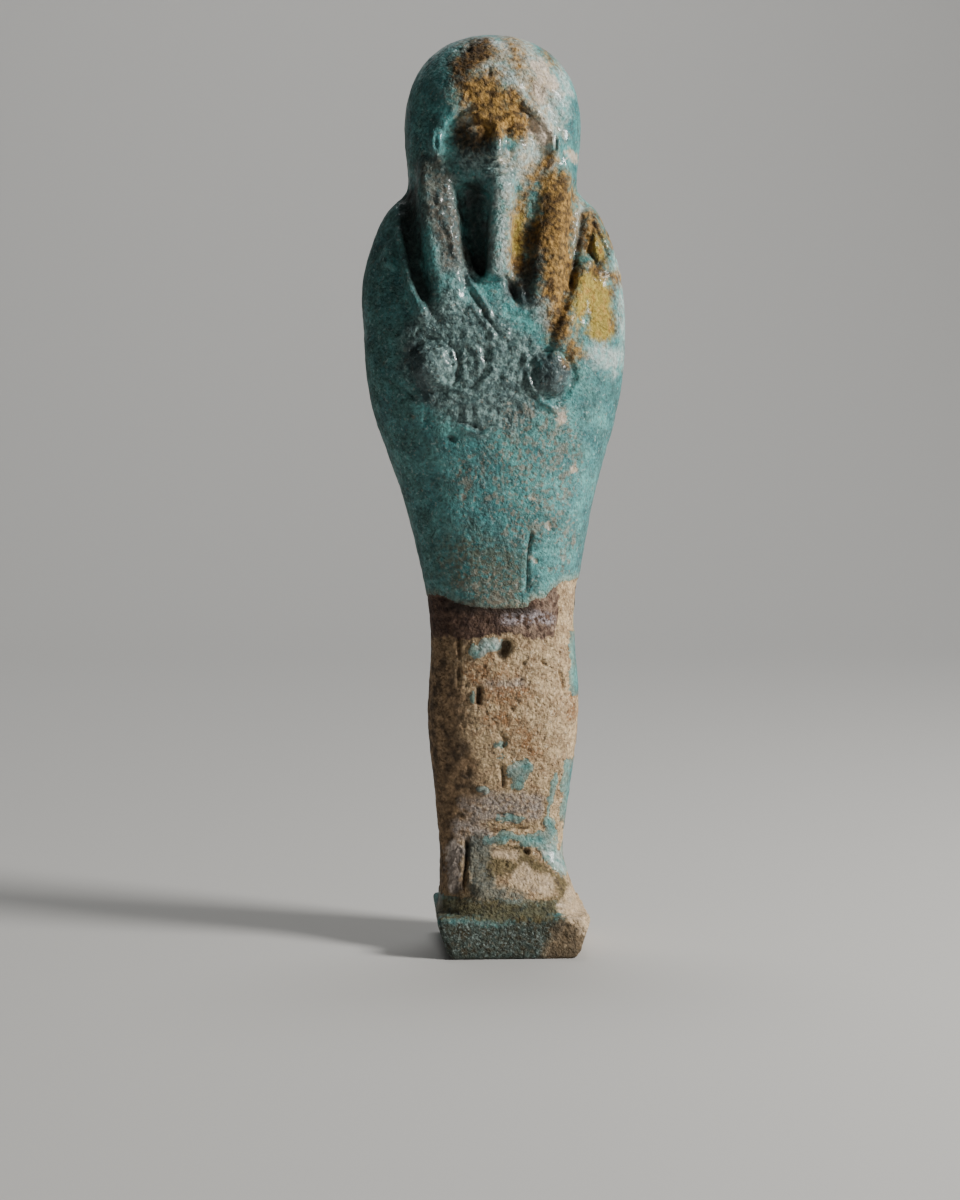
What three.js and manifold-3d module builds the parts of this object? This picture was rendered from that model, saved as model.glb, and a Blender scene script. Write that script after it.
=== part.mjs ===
import * as THREE from "three";
import { ParametricGeometry } from "three/addons/geometries/ParametricGeometry.js";
import { mergeVertices } from "three/addons/utils/BufferGeometryUtils.js";
import Module from "manifold-3d";

// A small ushabti figure, moulded in one piece of faience. Sizes are in millimetres and +Z is up.
// The face looks towards -Y, and the origin is in the middle of the flat sole.

// Overall sizes of the figure
const figureHeight = 118;
const headWidth = 22.7;
const elbowWidth = 33.9;
const kneeWidth = 19.1;
const calfWidth = 20.05;
const ankleWidth = 16.3;

// Depths, measured forwards and backwards from the plane through the middle of the sole
const faceFront = 9.7;
const wigFront = 9.2;
const wigBack = 10.6;
const collarFront = 6.3;
const chestFront = 9.5;
const thighFront = 7.6;
const kneeFront = 6.1;
const calfFront = 6.0;
const ankleFront = 3.2;
const bodyBack = 7.4;

// The low base under the feet
const baseWidth = 19.9;
const soleWidth = 17.3;
const baseDepth = 18;
const baseHeight = 5.4;
const baseBevel = 0.5;
const baseCentre = 0.25;
const toeInset = 0.7;
const toeFront = baseDepth / 2 - toeInset;
const toeWidth = baseWidth - 1.7;

// The plain pillar down the back
const pillarWidth = 9.6;
const pillarBack = baseDepth / 2;
const pillarTopShare = 0.8;

// The wig's two front lappets, and the false beard between them
const lappetTopShare = 0.875;
const lappetEndShare = 0.692;
const lappetWidth = 6.1;
const lappetFront = chestFront - 0.2;
const lappetTopSpacing = headWidth - 7.5;
const lappetEndSpacing = headWidth - 11.5;
const beardTopShare = 0.829;
const beardEndShare = 0.73;
const beardWidth = 3.2;
const beardFront = chestFront + 0.1;
const recessDepth = collarFront - 0.7;
const webFront = collarFront + 1.4;

// The face, of calm and plain proportions
const faceWidth = 13.6;
const faceHeight = 11.8;
const chinShare = 0.824;
const openingDepth = 7.5;
const noseWidth = 2;
const noseHeight = 3.4;
const noseProud = 1.05;
const eyeSpacing = 5.6;
const eyeWidth = 3;
const mouthWidth = 3.9;
const earHeight = 4.2;
const featureProud = 0.45;

// The fists, and the tools held upright against the shoulders
const fistDiameter = 6.1;
const fistProud = 1.6;
const toolHandleDiameter = 2.1;
const bladeWidth = 2.9;
const bladeHeight = 5;
const bladeProud = 0.9;

// The handmade lean: how far the middle of the figure stands off the middle of its sole
const leanAtAnkle = -1;
const leanAtKnee = -0.9;
const leanAtElbow = -1.85;
const leanAtHead = -2.15;

// Fineness of the faceted surface
const bodyColumns = 48;
const lappetColumns = 24;
const domeRows = 9;
const smallSides = 12;
const tubeSides = 8;

const wasm = await Module();
wasm.setup();

// Closed geometry to a solid: the corners are merged, and triangles that a pole squeezed flat are dropped
function solidOf(geometry) {
  const bare = new THREE.BufferGeometry();
  bare.setAttribute("position", geometry.getAttribute("position"));
  bare.setIndex(geometry.index);
  const merged = mergeVertices(bare, 1e-4);
  const corners = merged.index.array;
  const kept = [];
  for (let i = 0; i < corners.length; i += 3) {
    const [a, b, c] = corners.slice(i, i + 3);
    if (a !== b && b !== c && c !== a) kept.push(a, b, c);
  }
  const mesh = new wasm.Mesh({
    numProp: 3,
    vertProperties: merged.getAttribute("position").array,
    triVerts: new Uint32Array(kept),
  });
  return new wasm.Manifold(mesh);
}

function geometryOf(solid) {
  const mesh = solid.getMesh();
  const geometry = new THREE.BufferGeometry();
  geometry.setAttribute("position", new THREE.BufferAttribute(mesh.vertProperties, 3));
  geometry.setIndex(new THREE.BufferAttribute(mesh.triVerts, 1));
  geometry.computeVertexNormals();
  return geometry;
}

const between = (from, to, share) => from + (to - from) * share;
const side = (value, power) => Math.sign(value) * Math.abs(value) ** (2 / power);

// Stations up the body. The power says how square the section is: 2 is an ellipse.
const halfElbow = elbowWidth / 2;
const stations = [
  { level: 0.02, half: toeWidth / 2, lean: -0.1, front: toeFront, power: 3.4 },
  { level: 0.052, half: toeWidth / 2, lean: -0.1, front: toeFront, power: 3.4 },
  { level: 0.075, half: between(ankleWidth, toeWidth, 0.55) / 2, lean: -0.5, front: between(ankleFront, toeFront, 0.72), power: 3.2 },
  { level: 0.102, half: ankleWidth / 2, lean: leanAtAnkle, front: between(ankleFront, toeFront, 0.2), power: 3 },
  { level: 0.122, half: ankleWidth * 0.51, lean: leanAtAnkle, front: ankleFront, power: 2.8 },
  { level: 0.185, half: between(ankleWidth, calfWidth, 0.5) / 2, lean: leanAtKnee, front: between(ankleFront, calfFront, 0.5), power: 2.6 },
  { level: 0.251, half: calfWidth / 2, lean: -0.75, front: calfFront, power: 2.5 },
  { level: 0.367, half: kneeWidth / 2, lean: leanAtKnee, front: kneeFront, power: 2.4 },
  { level: 0.433, half: between(kneeWidth, elbowWidth, 0.16) / 2, lean: -1.08, front: between(kneeFront, thighFront, 0.6), power: 2.35 },
  { level: 0.499, half: halfElbow * 0.737, lean: -1.34, front: thighFront, power: 2.3 },
  { level: 0.565, half: halfElbow * 0.88, lean: -1.7, front: between(thighFront, chestFront, 0.5), power: 2.3 },
  { level: 0.61, half: halfElbow * 0.966, lean: leanAtElbow, front: between(thighFront, chestFront, 0.85), power: 2.3 },
  { level: 0.67, half: halfElbow, lean: leanAtElbow, front: chestFront, power: 2.35 },
  { level: 0.73, half: halfElbow * 0.995, lean: leanAtHead, front: between(collarFront, chestFront, 0.55), power: 2.5 },
  { level: 0.764, half: halfElbow * 0.944, lean: leanAtHead, front: between(collarFront, chestFront, 0.15), power: 2.6 },
  { level: 0.797, half: halfElbow * 0.855, lean: leanAtHead, front: collarFront, power: 2.6 },
  { level: 0.82, half: halfElbow * 0.745, lean: leanAtHead, front: collarFront * 0.93, power: 2.4 },
  { level: 0.84, half: halfElbow * 0.5, lean: leanAtHead, front: collarFront * 0.8, power: 2.2 },
];

const profileOf = (key) =>
  new THREE.CubicInterpolant(
    stations.map((station) => station.level),
    stations.map((station) => station[key]),
    1,
    new Float64Array(1),
  );
const halfProfile = profileOf("half");
const leanProfile = profileOf("lean");
const frontProfile = profileOf("front");
const powerProfile = profileOf("power");

// Where the back stands above the ankle, and how it closes in to the neck
function backAt(level) {
  const neckLevel = 0.84;
  const rounding = THREE.MathUtils.smoothstep(level, 0.74, neckLevel);
  return bodyBack * (1 - 0.25 * rounding);
}

function bodySection(level) {
  return {
    half: halfProfile.evaluate(level)[0],
    lean: leanProfile.evaluate(level)[0],
    front: frontProfile.evaluate(level)[0],
    back: backAt(level),
    power: powerProfile.evaluate(level)[0],
  };
}

// The point of a section at one angle: 0 is the figure's left, and the angle runs round by the back
function sectionPoint(section, angle, height, target) {
  const across = side(Math.cos(angle), section.power) * section.half;
  const reach = Math.sin(angle) < 0 ? section.front : section.back;
  const deep = side(Math.sin(angle), section.power) * reach;
  return target.set(section.lean + across, deep, height);
}

// A loft through sections at the given levels, closed by a flat cap at its lower and upper ends
function loft(levels, sectionAt, columns = bodyColumns) {
  const lastRow = levels.length + 1;
  const surface = (u, v, target) => {
    const row = Math.round(v * lastRow);
    const level = levels[Math.min(Math.max(row - 1, 0), levels.length - 1)];
    const section = sectionAt(level);
    const isCap = row === 0 || row === lastRow;
    const drawn = isCap ? { ...section, half: 0, front: 0, back: 0 } : section;
    const turn = Math.round(u * columns) % columns;
    sectionPoint(drawn, (turn / columns) * 2 * Math.PI, level * figureHeight, target);
  };
  return solidOf(new ParametricGeometry(surface, columns, lastRow));
}

// Levels spread evenly over each span, finer where the form changes quickly
function spreadLevels(spans) {
  const levels = [spans[0].from];
  for (const span of spans) {
    for (let step = 1; step <= span.steps; step += 1) {
      levels.push(between(span.from, span.to, step / span.steps));
    }
  }
  return levels;
}

const bodyLevels = spreadLevels([
  { from: 0.02, to: 0.052, steps: 1 },
  { from: 0.052, to: 0.13, steps: 8 },
  { from: 0.13, to: 0.7, steps: 21 },
  { from: 0.7, to: 0.84, steps: 9 },
]);

// The wig: nearly straight sides with a slightly squared dome on top
const domeShare = 0.9;
const domePower = 2.25;
const wigStations = { hem: 0.785, nape: 0.835, jaw: 0.86 };

function wigSection(level) {
  const { hem, nape, jaw } = wigStations;
  const climb = THREE.MathUtils.smoothstep(level, nape, domeShare);
  const chin = THREE.MathUtils.smoothstep(level, nape - 0.012, jaw - 0.012);
  const dome = Math.max(0, (level - domeShare) / (1 - domeShare));
  const shrink = (1 - Math.min(1, dome) ** domePower) ** (1 / domePower);
  const hemRounding = 1 - 0.04 * (1 - THREE.MathUtils.smoothstep(level, hem, hem + 0.02));
  return {
    half: (headWidth / 2) * between(0.955, 1, climb) * shrink * hemRounding,
    lean: leanAtHead,
    front: between(collarFront * 0.9, wigFront, chin) * shrink,
    back: wigBack * between(0.94, 1, climb) * shrink * hemRounding,
    power: between(2.5, 2.15, dome),
  };
}

const wigLevels = spreadLevels([
  { from: wigStations.hem, to: wigStations.nape, steps: 4 },
  { from: wigStations.nape, to: domeShare, steps: 6 },
]);
for (let row = 1; row <= domeRows; row += 1) {
  const turn = (row / (domeRows + 0.4)) * (Math.PI / 2);
  wigLevels.push(between(domeShare, 1, Math.sin(turn)));
}

// Where the body's front surface lies at a place across and a height
function frontAt(across, height) {
  const section = bodySection(height / figureHeight);
  const share = Math.min(Math.abs(across - section.lean) / section.half, 0.98);
  return -section.front * (1 - share ** section.power) ** (1 / section.power);
}

function ellipsoid(width, depth, height, position, sides = smallSides) {
  const ball = new THREE.SphereGeometry(0.5, sides, Math.round(sides * 0.7));
  ball.rotateX(Math.PI / 2);
  ball.scale(width, depth, height);
  ball.translate(position.x, position.y, position.z);
  return solidOf(ball);
}

// An outline drawn in the front view and carried from one depth to another
function slab(shape, nearest, farthest, bevel = 0) {
  const settings = {
    depth: farthest - nearest - 2 * bevel,
    bevelEnabled: bevel > 0,
    bevelThickness: bevel,
    bevelSize: bevel,
    bevelOffset: -bevel,
    bevelSegments: 3,
  };
  const plate = new THREE.ExtrudeGeometry(shape, settings);
  plate.rotateX(Math.PI / 2);
  plate.translate(0, farthest - bevel, 0);
  return solidOf(plate);
}

// A round bar along a smooth path
function bar(points, diameter) {
  const outline = new THREE.Shape();
  outline.absarc(0, 0, diameter / 2, 0, 2 * Math.PI, false);
  const path = new THREE.CatmullRomCurve3(points);
  const settings = { steps: 8, curveSegments: tubeSides / 2, bevelEnabled: false, extrudePath: path };
  return solidOf(new THREE.ExtrudeGeometry(outline, settings));
}

// The base: wider at the top than at the sole, with softened lower corners
function makeBase() {
  const corner = 1;
  const halfTop = baseWidth / 2;
  const halfSole = soleWidth / 2;
  const shape = new THREE.Shape();
  shape.moveTo(-halfSole + corner, 0);
  shape.lineTo(halfSole - corner, 0);
  shape.quadraticCurveTo(halfSole - corner * 0.3, 0, halfSole, corner);
  shape.lineTo(halfTop, baseHeight * 0.9);
  shape.lineTo(halfTop - corner * 0.2, baseHeight);
  shape.lineTo(-halfTop + corner * 0.2, baseHeight);
  shape.lineTo(-halfTop, baseHeight * 0.9);
  shape.lineTo(-halfSole, corner);
  shape.quadraticCurveTo(-halfSole + corner * 0.3, 0, -halfSole + corner, 0);
  return slab(shape, -baseDepth / 2, baseDepth / 2, baseBevel).translate(baseCentre, 0, 0);
}

// The back pillar follows the lean from the base up to the hem of the wig
function makePillar() {
  const half = pillarWidth / 2;
  const topHeight = pillarTopShare * figureHeight;
  const shape = new THREE.Shape();
  shape.moveTo(baseCentre - half, baseHeight / 2);
  shape.lineTo(baseCentre + half, baseHeight / 2);
  shape.lineTo(leanAtHead + half, topHeight);
  shape.lineTo(leanAtHead - half, topHeight);
  shape.closePath();
  return slab(shape, bodyBack / 3, pillarBack, baseBevel);
}

// One lappet: it leaves the wig beside the cheek and lies down over the chest. Hand is -1 or 1.
function makeLappet(hand) {
  const levels = spreadLevels([{ from: lappetEndShare, to: lappetTopShare, steps: 10 }]);
  const sectionAt = (level) => {
    const rise = (level - lappetEndShare) / (lappetTopShare - lappetEndShare);
    const lip = THREE.MathUtils.smoothstep(rise, -0.2, 0.12);
    return {
      half: (lappetWidth / 2) * between(0.94, 1, lip) * between(1.08, 0.92, rise),
      lean: leanAtHead + (hand * between(lappetEndSpacing, lappetTopSpacing, rise ** 0.8)) / 2,
      front: between(chestFront - 1, lappetFront, lip) - 3 * rise ** 3,
      back: 0.5,
      power: 3,
    };
  };
  return loft(levels, sectionAt, lappetColumns);
}

function makeBeard() {
  const topHeight = beardTopShare * figureHeight;
  const endHeight = beardEndShare * figureHeight;
  const half = beardWidth / 2;
  const top = leanAtHead + 0.9;
  const end = leanAtHead + 0.2;
  const shape = new THREE.Shape();
  shape.moveTo(top - half * 0.9, topHeight + 1);
  shape.lineTo(end - half, endHeight);
  shape.lineTo(end + half, endHeight);
  shape.lineTo(top + half * 0.9, topHeight + 1);
  shape.closePath();
  return slab(shape, -beardFront, -2, half * 0.7);
}

// The hollow under the chin, between the lappets
function makeRecess() {
  const topHeight = beardTopShare * figureHeight;
  const endHeight = beardEndShare * figureHeight + 0.4;
  const halfTop = (lappetTopSpacing - lappetWidth) / 2 + 0.5;
  const halfEnd = (lappetEndSpacing - lappetWidth) / 2 - 0.3;
  const shape = new THREE.Shape();
  shape.moveTo(leanAtHead - halfTop, topHeight);
  shape.lineTo(leanAtHead - halfEnd, endHeight);
  shape.lineTo(leanAtHead + halfEnd, endHeight);
  shape.lineTo(leanAtHead + halfTop, topHeight);
  shape.closePath();
  return slab(shape, -2 * chestFront, -recessDepth);
}

// The web of clay that was left standing between the beard and the right lappet
function makeWeb() {
  const topHeight = beardTopShare * figureHeight + 0.6;
  const endHeight = beardEndShare * figureHeight - 1;
  const shape = new THREE.Shape();
  shape.moveTo(leanAtHead + 1, topHeight);
  shape.lineTo(leanAtHead + 0.6, endHeight);
  shape.lineTo(leanAtHead + lappetEndSpacing / 2, endHeight);
  shape.lineTo(leanAtHead + lappetTopSpacing / 2, topHeight);
  shape.closePath();
  return slab(shape, -webFront, -bodyBack / 2);
}

// The face: rise runs from 0 at the chin to 1 under the wig. It is fullest at the cheeks.
function faceSection(level) {
  const rise = THREE.MathUtils.clamp(((level - chinShare) * figureHeight) / faceHeight, 0, 1);
  const fullest = 0.56;
  const below = Math.max(0, (fullest - rise) / fullest);
  const above = Math.max(0, (rise - fullest) / (1 - fullest));
  return {
    half: (faceWidth / 2) * (1 - 0.6 * below ** 2.4 - 0.12 * above ** 2),
    lean: leanAtHead,
    front: faceFront - 1.3 * below ** 2.2 - 1.1 * above ** 2,
    back: 0,
    power: 2.4,
  };
}

function faceAt(across, level) {
  const section = faceSection(level);
  const share = Math.min(Math.abs(across - section.lean) / section.half, 0.98);
  return -section.front * (1 - share ** section.power) ** (1 / section.power);
}

// The face sits in an arched opening of the wig
function faceOpening() {
  const chinHeight = chinShare * figureHeight;
  const half = faceWidth * 0.53;
  const shape = new THREE.Shape();
  shape.moveTo(leanAtHead - half * 0.75, chinHeight - 1);
  shape.lineTo(leanAtHead + half * 0.75, chinHeight - 1);
  shape.lineTo(leanAtHead + half, chinHeight + faceHeight * 0.4);
  shape.bezierCurveTo(
    leanAtHead + half,
    chinHeight + faceHeight * 1.12,
    leanAtHead - half,
    chinHeight + faceHeight * 1.12,
    leanAtHead - half,
    chinHeight + faceHeight * 0.4,
  );
  shape.closePath();
  return slab(shape, -2 * faceFront, -openingDepth);
}

// A rounded feature, half sunk in the face at a place across and a share of the face's height
function faceFeature(width, proud, height, across, riseShare) {
  const level = chinShare + (riseShare * faceHeight) / figureHeight;
  const place = new THREE.Vector3(leanAtHead + across, faceAt(leanAtHead + across, level), level * figureHeight);
  return ellipsoid(width, 2 * proud, height, place);
}

function makeFace() {
  const topShare = chinShare + faceHeight / figureHeight;
  const levels = spreadLevels([{ from: chinShare, to: topShare, steps: 12 }]);
  const features = [
    loft(levels, faceSection, lappetColumns),
    faceFeature(noseWidth, noseProud, noseHeight, 0, 0.46),
    faceFeature(mouthWidth, featureProud, 1.1, 0, 0.23),
  ];
  for (const hand of [-1, 1]) {
    features.push(faceFeature(eyeWidth, featureProud, 1.2, (hand * eyeSpacing) / 2, 0.62));
    const earPlace = new THREE.Vector3(
      leanAtHead + hand * faceWidth * 0.55,
      -openingDepth + 0.2,
      chinShare * figureHeight + faceHeight * 0.52,
    );
    features.push(ellipsoid(1.9, 2.2, earHeight, earPlace));
  }
  return features;
}

// A fist on the chest, at a share of the half width and of the height
function makeFist(acrossShare, heightShare) {
  const across = leanAtElbow + acrossShare * halfElbow;
  const height = heightShare * figureHeight;
  const surface = frontAt(across, height);
  const sunk = fistDiameter / 2 - fistProud;
  const place = new THREE.Vector3(across, surface + sunk, height);
  return ellipsoid(fistDiameter, fistDiameter, fistDiameter, place);
}

// A tool handle from the shoulder down to the fist, lying on the surface of the body
function makeHandle(path) {
  const points = path.map(([acrossShare, heightShare]) => {
    const across = leanAtElbow + acrossShare * halfElbow;
    const height = heightShare * figureHeight;
    return new THREE.Vector3(across, frontAt(across, height) + 0.1, height);
  });
  return bar(points, toolHandleDiameter);
}

// The blade of a tool: a small three-cornered plate that lies on the shoulder
function makeBlade(acrossShare, heightShare, hand) {
  const across = leanAtElbow + acrossShare * halfElbow;
  const height = heightShare * figureHeight;
  const shape = new THREE.Shape();
  shape.moveTo(-hand * bladeWidth * 0.4, bladeHeight / 2);
  shape.lineTo(hand * bladeWidth * 0.5, -bladeHeight * 0.3);
  shape.lineTo(-hand * bladeWidth * 0.3, -bladeHeight / 2);
  shape.closePath();
  const sunk = 2;
  const plate = new THREE.ExtrudeGeometry(shape, { depth: bladeProud + sunk, bevelEnabled: false });
  plate.rotateX(Math.PI / 2);
  plate.translate(0, sunk, 0);
  const reach = 1.2;
  const alongX = new THREE.Vector3(2 * reach, frontAt(across + reach, height) - frontAt(across - reach, height), 0);
  const alongZ = new THREE.Vector3(0, frontAt(across, height + reach) - frontAt(across, height - reach), 2 * reach);
  const normal = alongX.cross(alongZ).normalize();
  const facing = new THREE.Vector3(0, -1, 0);
  plate.applyQuaternion(new THREE.Quaternion().setFromUnitVectors(facing, normal));
  plate.translate(across, frontAt(across, height), height);
  return solidOf(plate);
}

const pieces = [
  makeBase(),
  makePillar(),
  makeLappet(-1),
  makeLappet(1),
  makeBeard(),
  makeWeb(),
  ...makeFace(),
  makeFist(-0.487, 0.639),
  makeFist(0.381, 0.629),
  makeHandle([[-0.71, 0.785], [-0.66, 0.745], [-0.6, 0.712], [-0.54, 0.688]]),
  makeHandle([[0.68, 0.755], [0.59, 0.715], [0.48, 0.675], [0.39, 0.635]]),
  makeBlade(-0.8, 0.762, -1),
  makeBlade(0.76, 0.764, 1),
];

let figure = loft(bodyLevels, bodySection);
figure = figure.add(loft(wigLevels, wigSection).subtract(faceOpening()));
figure = figure.subtract(makeRecess());
for (const piece of pieces) figure = figure.add(piece);

const glazedFaience = new THREE.MeshStandardMaterial({ color: 0x74aaa6, roughness: 0.45, metalness: 0 });
const figureMesh = new THREE.Mesh(geometryOf(figure), glazedFaience);
figureMesh.name = "ushabti_figure";

const group = new THREE.Group();
group.add(figureMesh);

export default group;
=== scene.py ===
# %% [markdown]
# A worn faience ushabti
#
# Faience is a paste of crushed quartz, pressed into a mould and fired with a turquoise glaze. This
# small figure keeps its glaze above the knees. Below them the glaze is gone and the sandy core shows.
# The lesson carves the fine surface of that one piece, works out where each finish lies, and then
# mixes the finishes in one material.

# %% Load the measured frame
import itertools
import math

import bpy
import numpy as np
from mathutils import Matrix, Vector


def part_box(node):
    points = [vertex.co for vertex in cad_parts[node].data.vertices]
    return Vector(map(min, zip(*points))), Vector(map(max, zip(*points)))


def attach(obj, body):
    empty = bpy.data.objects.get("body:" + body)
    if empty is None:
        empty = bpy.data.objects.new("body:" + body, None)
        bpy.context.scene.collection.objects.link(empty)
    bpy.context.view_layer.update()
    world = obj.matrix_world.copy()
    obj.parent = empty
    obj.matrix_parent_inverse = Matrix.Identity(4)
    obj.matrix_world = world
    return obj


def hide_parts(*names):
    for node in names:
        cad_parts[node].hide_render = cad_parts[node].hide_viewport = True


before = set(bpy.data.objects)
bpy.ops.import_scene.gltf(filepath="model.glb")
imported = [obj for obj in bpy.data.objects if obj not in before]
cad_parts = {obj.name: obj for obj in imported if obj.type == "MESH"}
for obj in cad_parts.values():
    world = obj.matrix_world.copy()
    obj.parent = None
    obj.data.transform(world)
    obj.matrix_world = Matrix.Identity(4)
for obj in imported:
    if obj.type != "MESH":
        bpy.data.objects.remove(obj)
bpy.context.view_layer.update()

NODE = "ushabti_figure"
MM = 0.001
low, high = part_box(NODE)
HEIGHT = (high[2] - low[2]) / MM
print("solid figure, mm:", [round((b - a) / MM, 1) for a, b in zip(low, high)])

# %% [markdown]
# The camera stands a little left of the figure's own front, at about half its height, and looks
# slightly down. A long lens keeps the upright lines nearly parallel, as in a museum photograph.

# %% Camera
LENS_PIXELS = 2127
IMAGE_TALL = 1200
SENSOR_TALL = 36
NEAREST_SEEN = 0.01
DISTANCE = 277 * MM
EYE_HEIGHT = 61.5 * MM
SIDEWAYS = -3.75 * MM
TURN = math.radians(3.0)
PITCH = math.radians(3.32)

camera_data = bpy.data.cameras.new("studio_camera")
camera_data.sensor_fit = "VERTICAL"
camera_data.sensor_height = SENSOR_TALL
camera_data.lens = LENS_PIXELS / IMAGE_TALL * SENSOR_TALL
camera_data.clip_start = NEAREST_SEEN
camera = bpy.data.objects.new("studio_camera", camera_data)
bpy.context.scene.collection.objects.link(camera)
camera.location = Vector((
    SIDEWAYS * math.cos(TURN) - DISTANCE * math.sin(TURN),
    -SIDEWAYS * math.sin(TURN) - DISTANCE * math.cos(TURN),
    EYE_HEIGHT,
))
camera.rotation_euler = (math.radians(90) - PITCH, 0, -TURN)
bpy.context.scene.camera = camera
print("lens, mm:", round(camera_data.lens, 1))

# %% [markdown]
# The solid is faceted. Subdivision would keep its long triangles, so a voxel remesh turns it into an
# even skin of small squares first, fine enough to carve in.

# %% Even skin over the solid
SKIN_STEP = 0.24 * MM


def apply_modifiers(piece):
    bpy.context.view_layer.update()
    evaluated = piece.evaluated_get(bpy.context.evaluated_depsgraph_get())
    finished = bpy.data.meshes.new_from_object(evaluated)
    piece.modifiers.clear()
    piece.data = finished


figure = bpy.data.objects.new("faience_figure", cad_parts[NODE].data.copy())
bpy.context.scene.collection.objects.link(figure)
figure.data.materials.clear()
remesh = figure.modifiers.new("even_skin", "REMESH")
remesh.mode = "VOXEL"
remesh.voxel_size = SKIN_STEP
apply_modifiers(figure)
print("skin:", len(figure.data.vertices), "corners")

# %% [markdown]
# From here the skin is handled as arrays of corners in millimetres: across (x), deep (y, forwards is
# negative) and up (z). Places are given in the front view, across and up.

# %% Read and write the corners
def read_corners(mesh):
    flat = np.empty(len(mesh.vertices) * 3)
    mesh.vertices.foreach_get("co", flat)
    return flat.reshape(-1, 3) / MM


def read_normals(mesh):
    flat = np.empty(len(mesh.vertices) * 3)
    mesh.vertex_normals.foreach_get("vector", flat)
    return flat.reshape(-1, 3)


def write_corners(mesh, corners):
    mesh.vertices.foreach_set("co", (corners * MM).ravel())
    mesh.update()


def ease(value, start, end):
    """0 below start, 1 above end, and a smooth climb between."""
    share = np.clip((value - start) / (end - start), 0, 1)
    return share * share * (3 - 2 * share)


# %% [markdown]
# Wet hands and melting glaze left no facets. Each corner is moved towards the middle of its
# neighbours, many times on the plain body, and only a little where something is carved.

# %% Melt the facets
MELT_ROUNDS = 44
MELT_STEP = 0.9
CARVED_SHARE = 0.1
# The face and the fists stand left of the middle, because the figure leans
LEAN = -2.15
FISTS_MIDDLE = -2.2
# Each carved place fades in or out between two values, in mm
FRONT_DEPTH = (1, 3)
BUST_BOTTOM = (76, 80)
BUST_TOP = (111, 114)
BUST_SIDE = (13, 15.5)
FISTS_BOTTOM = (69, 71)
FISTS_TOP = (78, 80)
FISTS_SIDE = (11, 13)
BASE_TOP = (7, 10)
PILLAR_FRONT = (5, 6.5)
PILLAR_TOP = (92, 97)


def soften(corners, edges, share, rounds):
    start, end = edges.T
    count = len(corners)
    neighbours = np.bincount(edges.ravel(), minlength=count)
    for _ in range(rounds):
        for axis in range(3):
            line = corners[:, axis]
            total = np.bincount(start, line[end], count) + np.bincount(end, line[start], count)
            line += share * (total / neighbours - line)
    return corners


def melt_share(corners):
    across, deep, up = corners.T
    front = ease(-deep, *FRONT_DEPTH)
    bust = front * ease(up, *BUST_BOTTOM) * (1 - ease(up, *BUST_TOP))
    bust = bust * (1 - ease(np.abs(across - LEAN), *BUST_SIDE))
    fists = front * (1 - ease(np.abs(across - FISTS_MIDDLE), *FISTS_SIDE))
    fists = fists * ease(up, *FISTS_BOTTOM) * (1 - ease(up, *FISTS_TOP))
    base = 1 - ease(up, *BASE_TOP)
    pillar = ease(deep, *PILLAR_FRONT) * (1 - ease(up, *PILLAR_TOP))
    carved = np.maximum.reduce([bust, fists, base, pillar])
    return MELT_STEP * (CARVED_SHARE + (1 - CARVED_SHARE) * (1 - carved))


edge_ends = np.empty(len(figure.data.edges) * 2, dtype=np.int64)
figure.data.edges.foreach_get("vertices", edge_ends)
edge_ends = edge_ends.reshape(-1, 2)
skin = read_corners(figure.data)
skin = soften(skin, edge_ends, melt_share(skin), MELT_ROUNDS)
write_corners(figure.data, skin)
print("softened, tallest corner now, mm:", round(skin[:, 2].max(), 2))

# %% [markdown]
# Hand work and wear are never even. Two kinds of scatter serve everywhere: soft clouds, from random
# numbers at the corners of a lattice, and round pits, one in each cell of a lattice. Both come from a
# formula, so that every run gives the same figure.

# %% Clouds and pits
# Large odd numbers scramble the place of a lattice cell into a random number
SCRAMBLE_PLACE = np.array([374761393, 668265263, 1442695041])
SCRAMBLE_SEED = 974634777
SCRAMBLE_AGAIN = 1274126177
LOWEST_BITS = 0xFFFF
ROUGH_RANGE = 1.4
SMALLEST_PIT = 0.45


def random_at(cells, seed):
    mixed = cells @ SCRAMBLE_PLACE + seed * SCRAMBLE_SEED
    mixed = (mixed ^ (mixed >> 13)) * SCRAMBLE_AGAIN
    mixed = mixed ^ (mixed >> 16)
    return (mixed & LOWEST_BITS) / LOWEST_BITS


def cloud(corners, size, seed):
    """Soft lumps about size mm across, between -1 and 1."""
    scaled = corners / size
    cell = np.floor(scaled).astype(np.int64)
    part = scaled - cell
    part = part * part * (3 - 2 * part)
    total = np.zeros(len(corners))
    for step in itertools.product((0, 1), repeat=3):
        weight = np.prod(np.where(step, part, 1 - part), axis=1)
        total += weight * random_at(cell + np.array(step), seed)
    return 2 * total - 1


def rough_cloud(corners, size, seed):
    """Lumps with smaller lumps on them, and smaller ones again."""
    total = cloud(corners, size, seed)
    total += 0.5 * cloud(corners, size / 2, seed + 1)
    total += 0.25 * cloud(corners, size / 4, seed + 2)
    return total / ROUGH_RANGE


def pits(corners, spacing, radius, share, seed):
    """0 outside the pits, and 1 in the middle of one. The share says how many cells have a pit."""
    cell = np.floor(corners / spacing).astype(np.int64)
    deepest = np.zeros(len(corners))
    for step in itertools.product((-1, 0, 1), repeat=3):
        near = cell + np.array(step)
        offset = np.stack([random_at(near, seed + axis) for axis in range(3)], axis=1)
        reach = radius * (SMALLEST_PIT + (1 - SMALLEST_PIT) * random_at(near, seed + 3))
        distance = np.linalg.norm(corners - (near + offset) * spacing, axis=1)
        present = random_at(near, seed + 4) < share
        deepest = np.maximum(deepest, np.where(present, 1 - (distance / reach) ** 2, 0))
    return deepest


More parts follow.
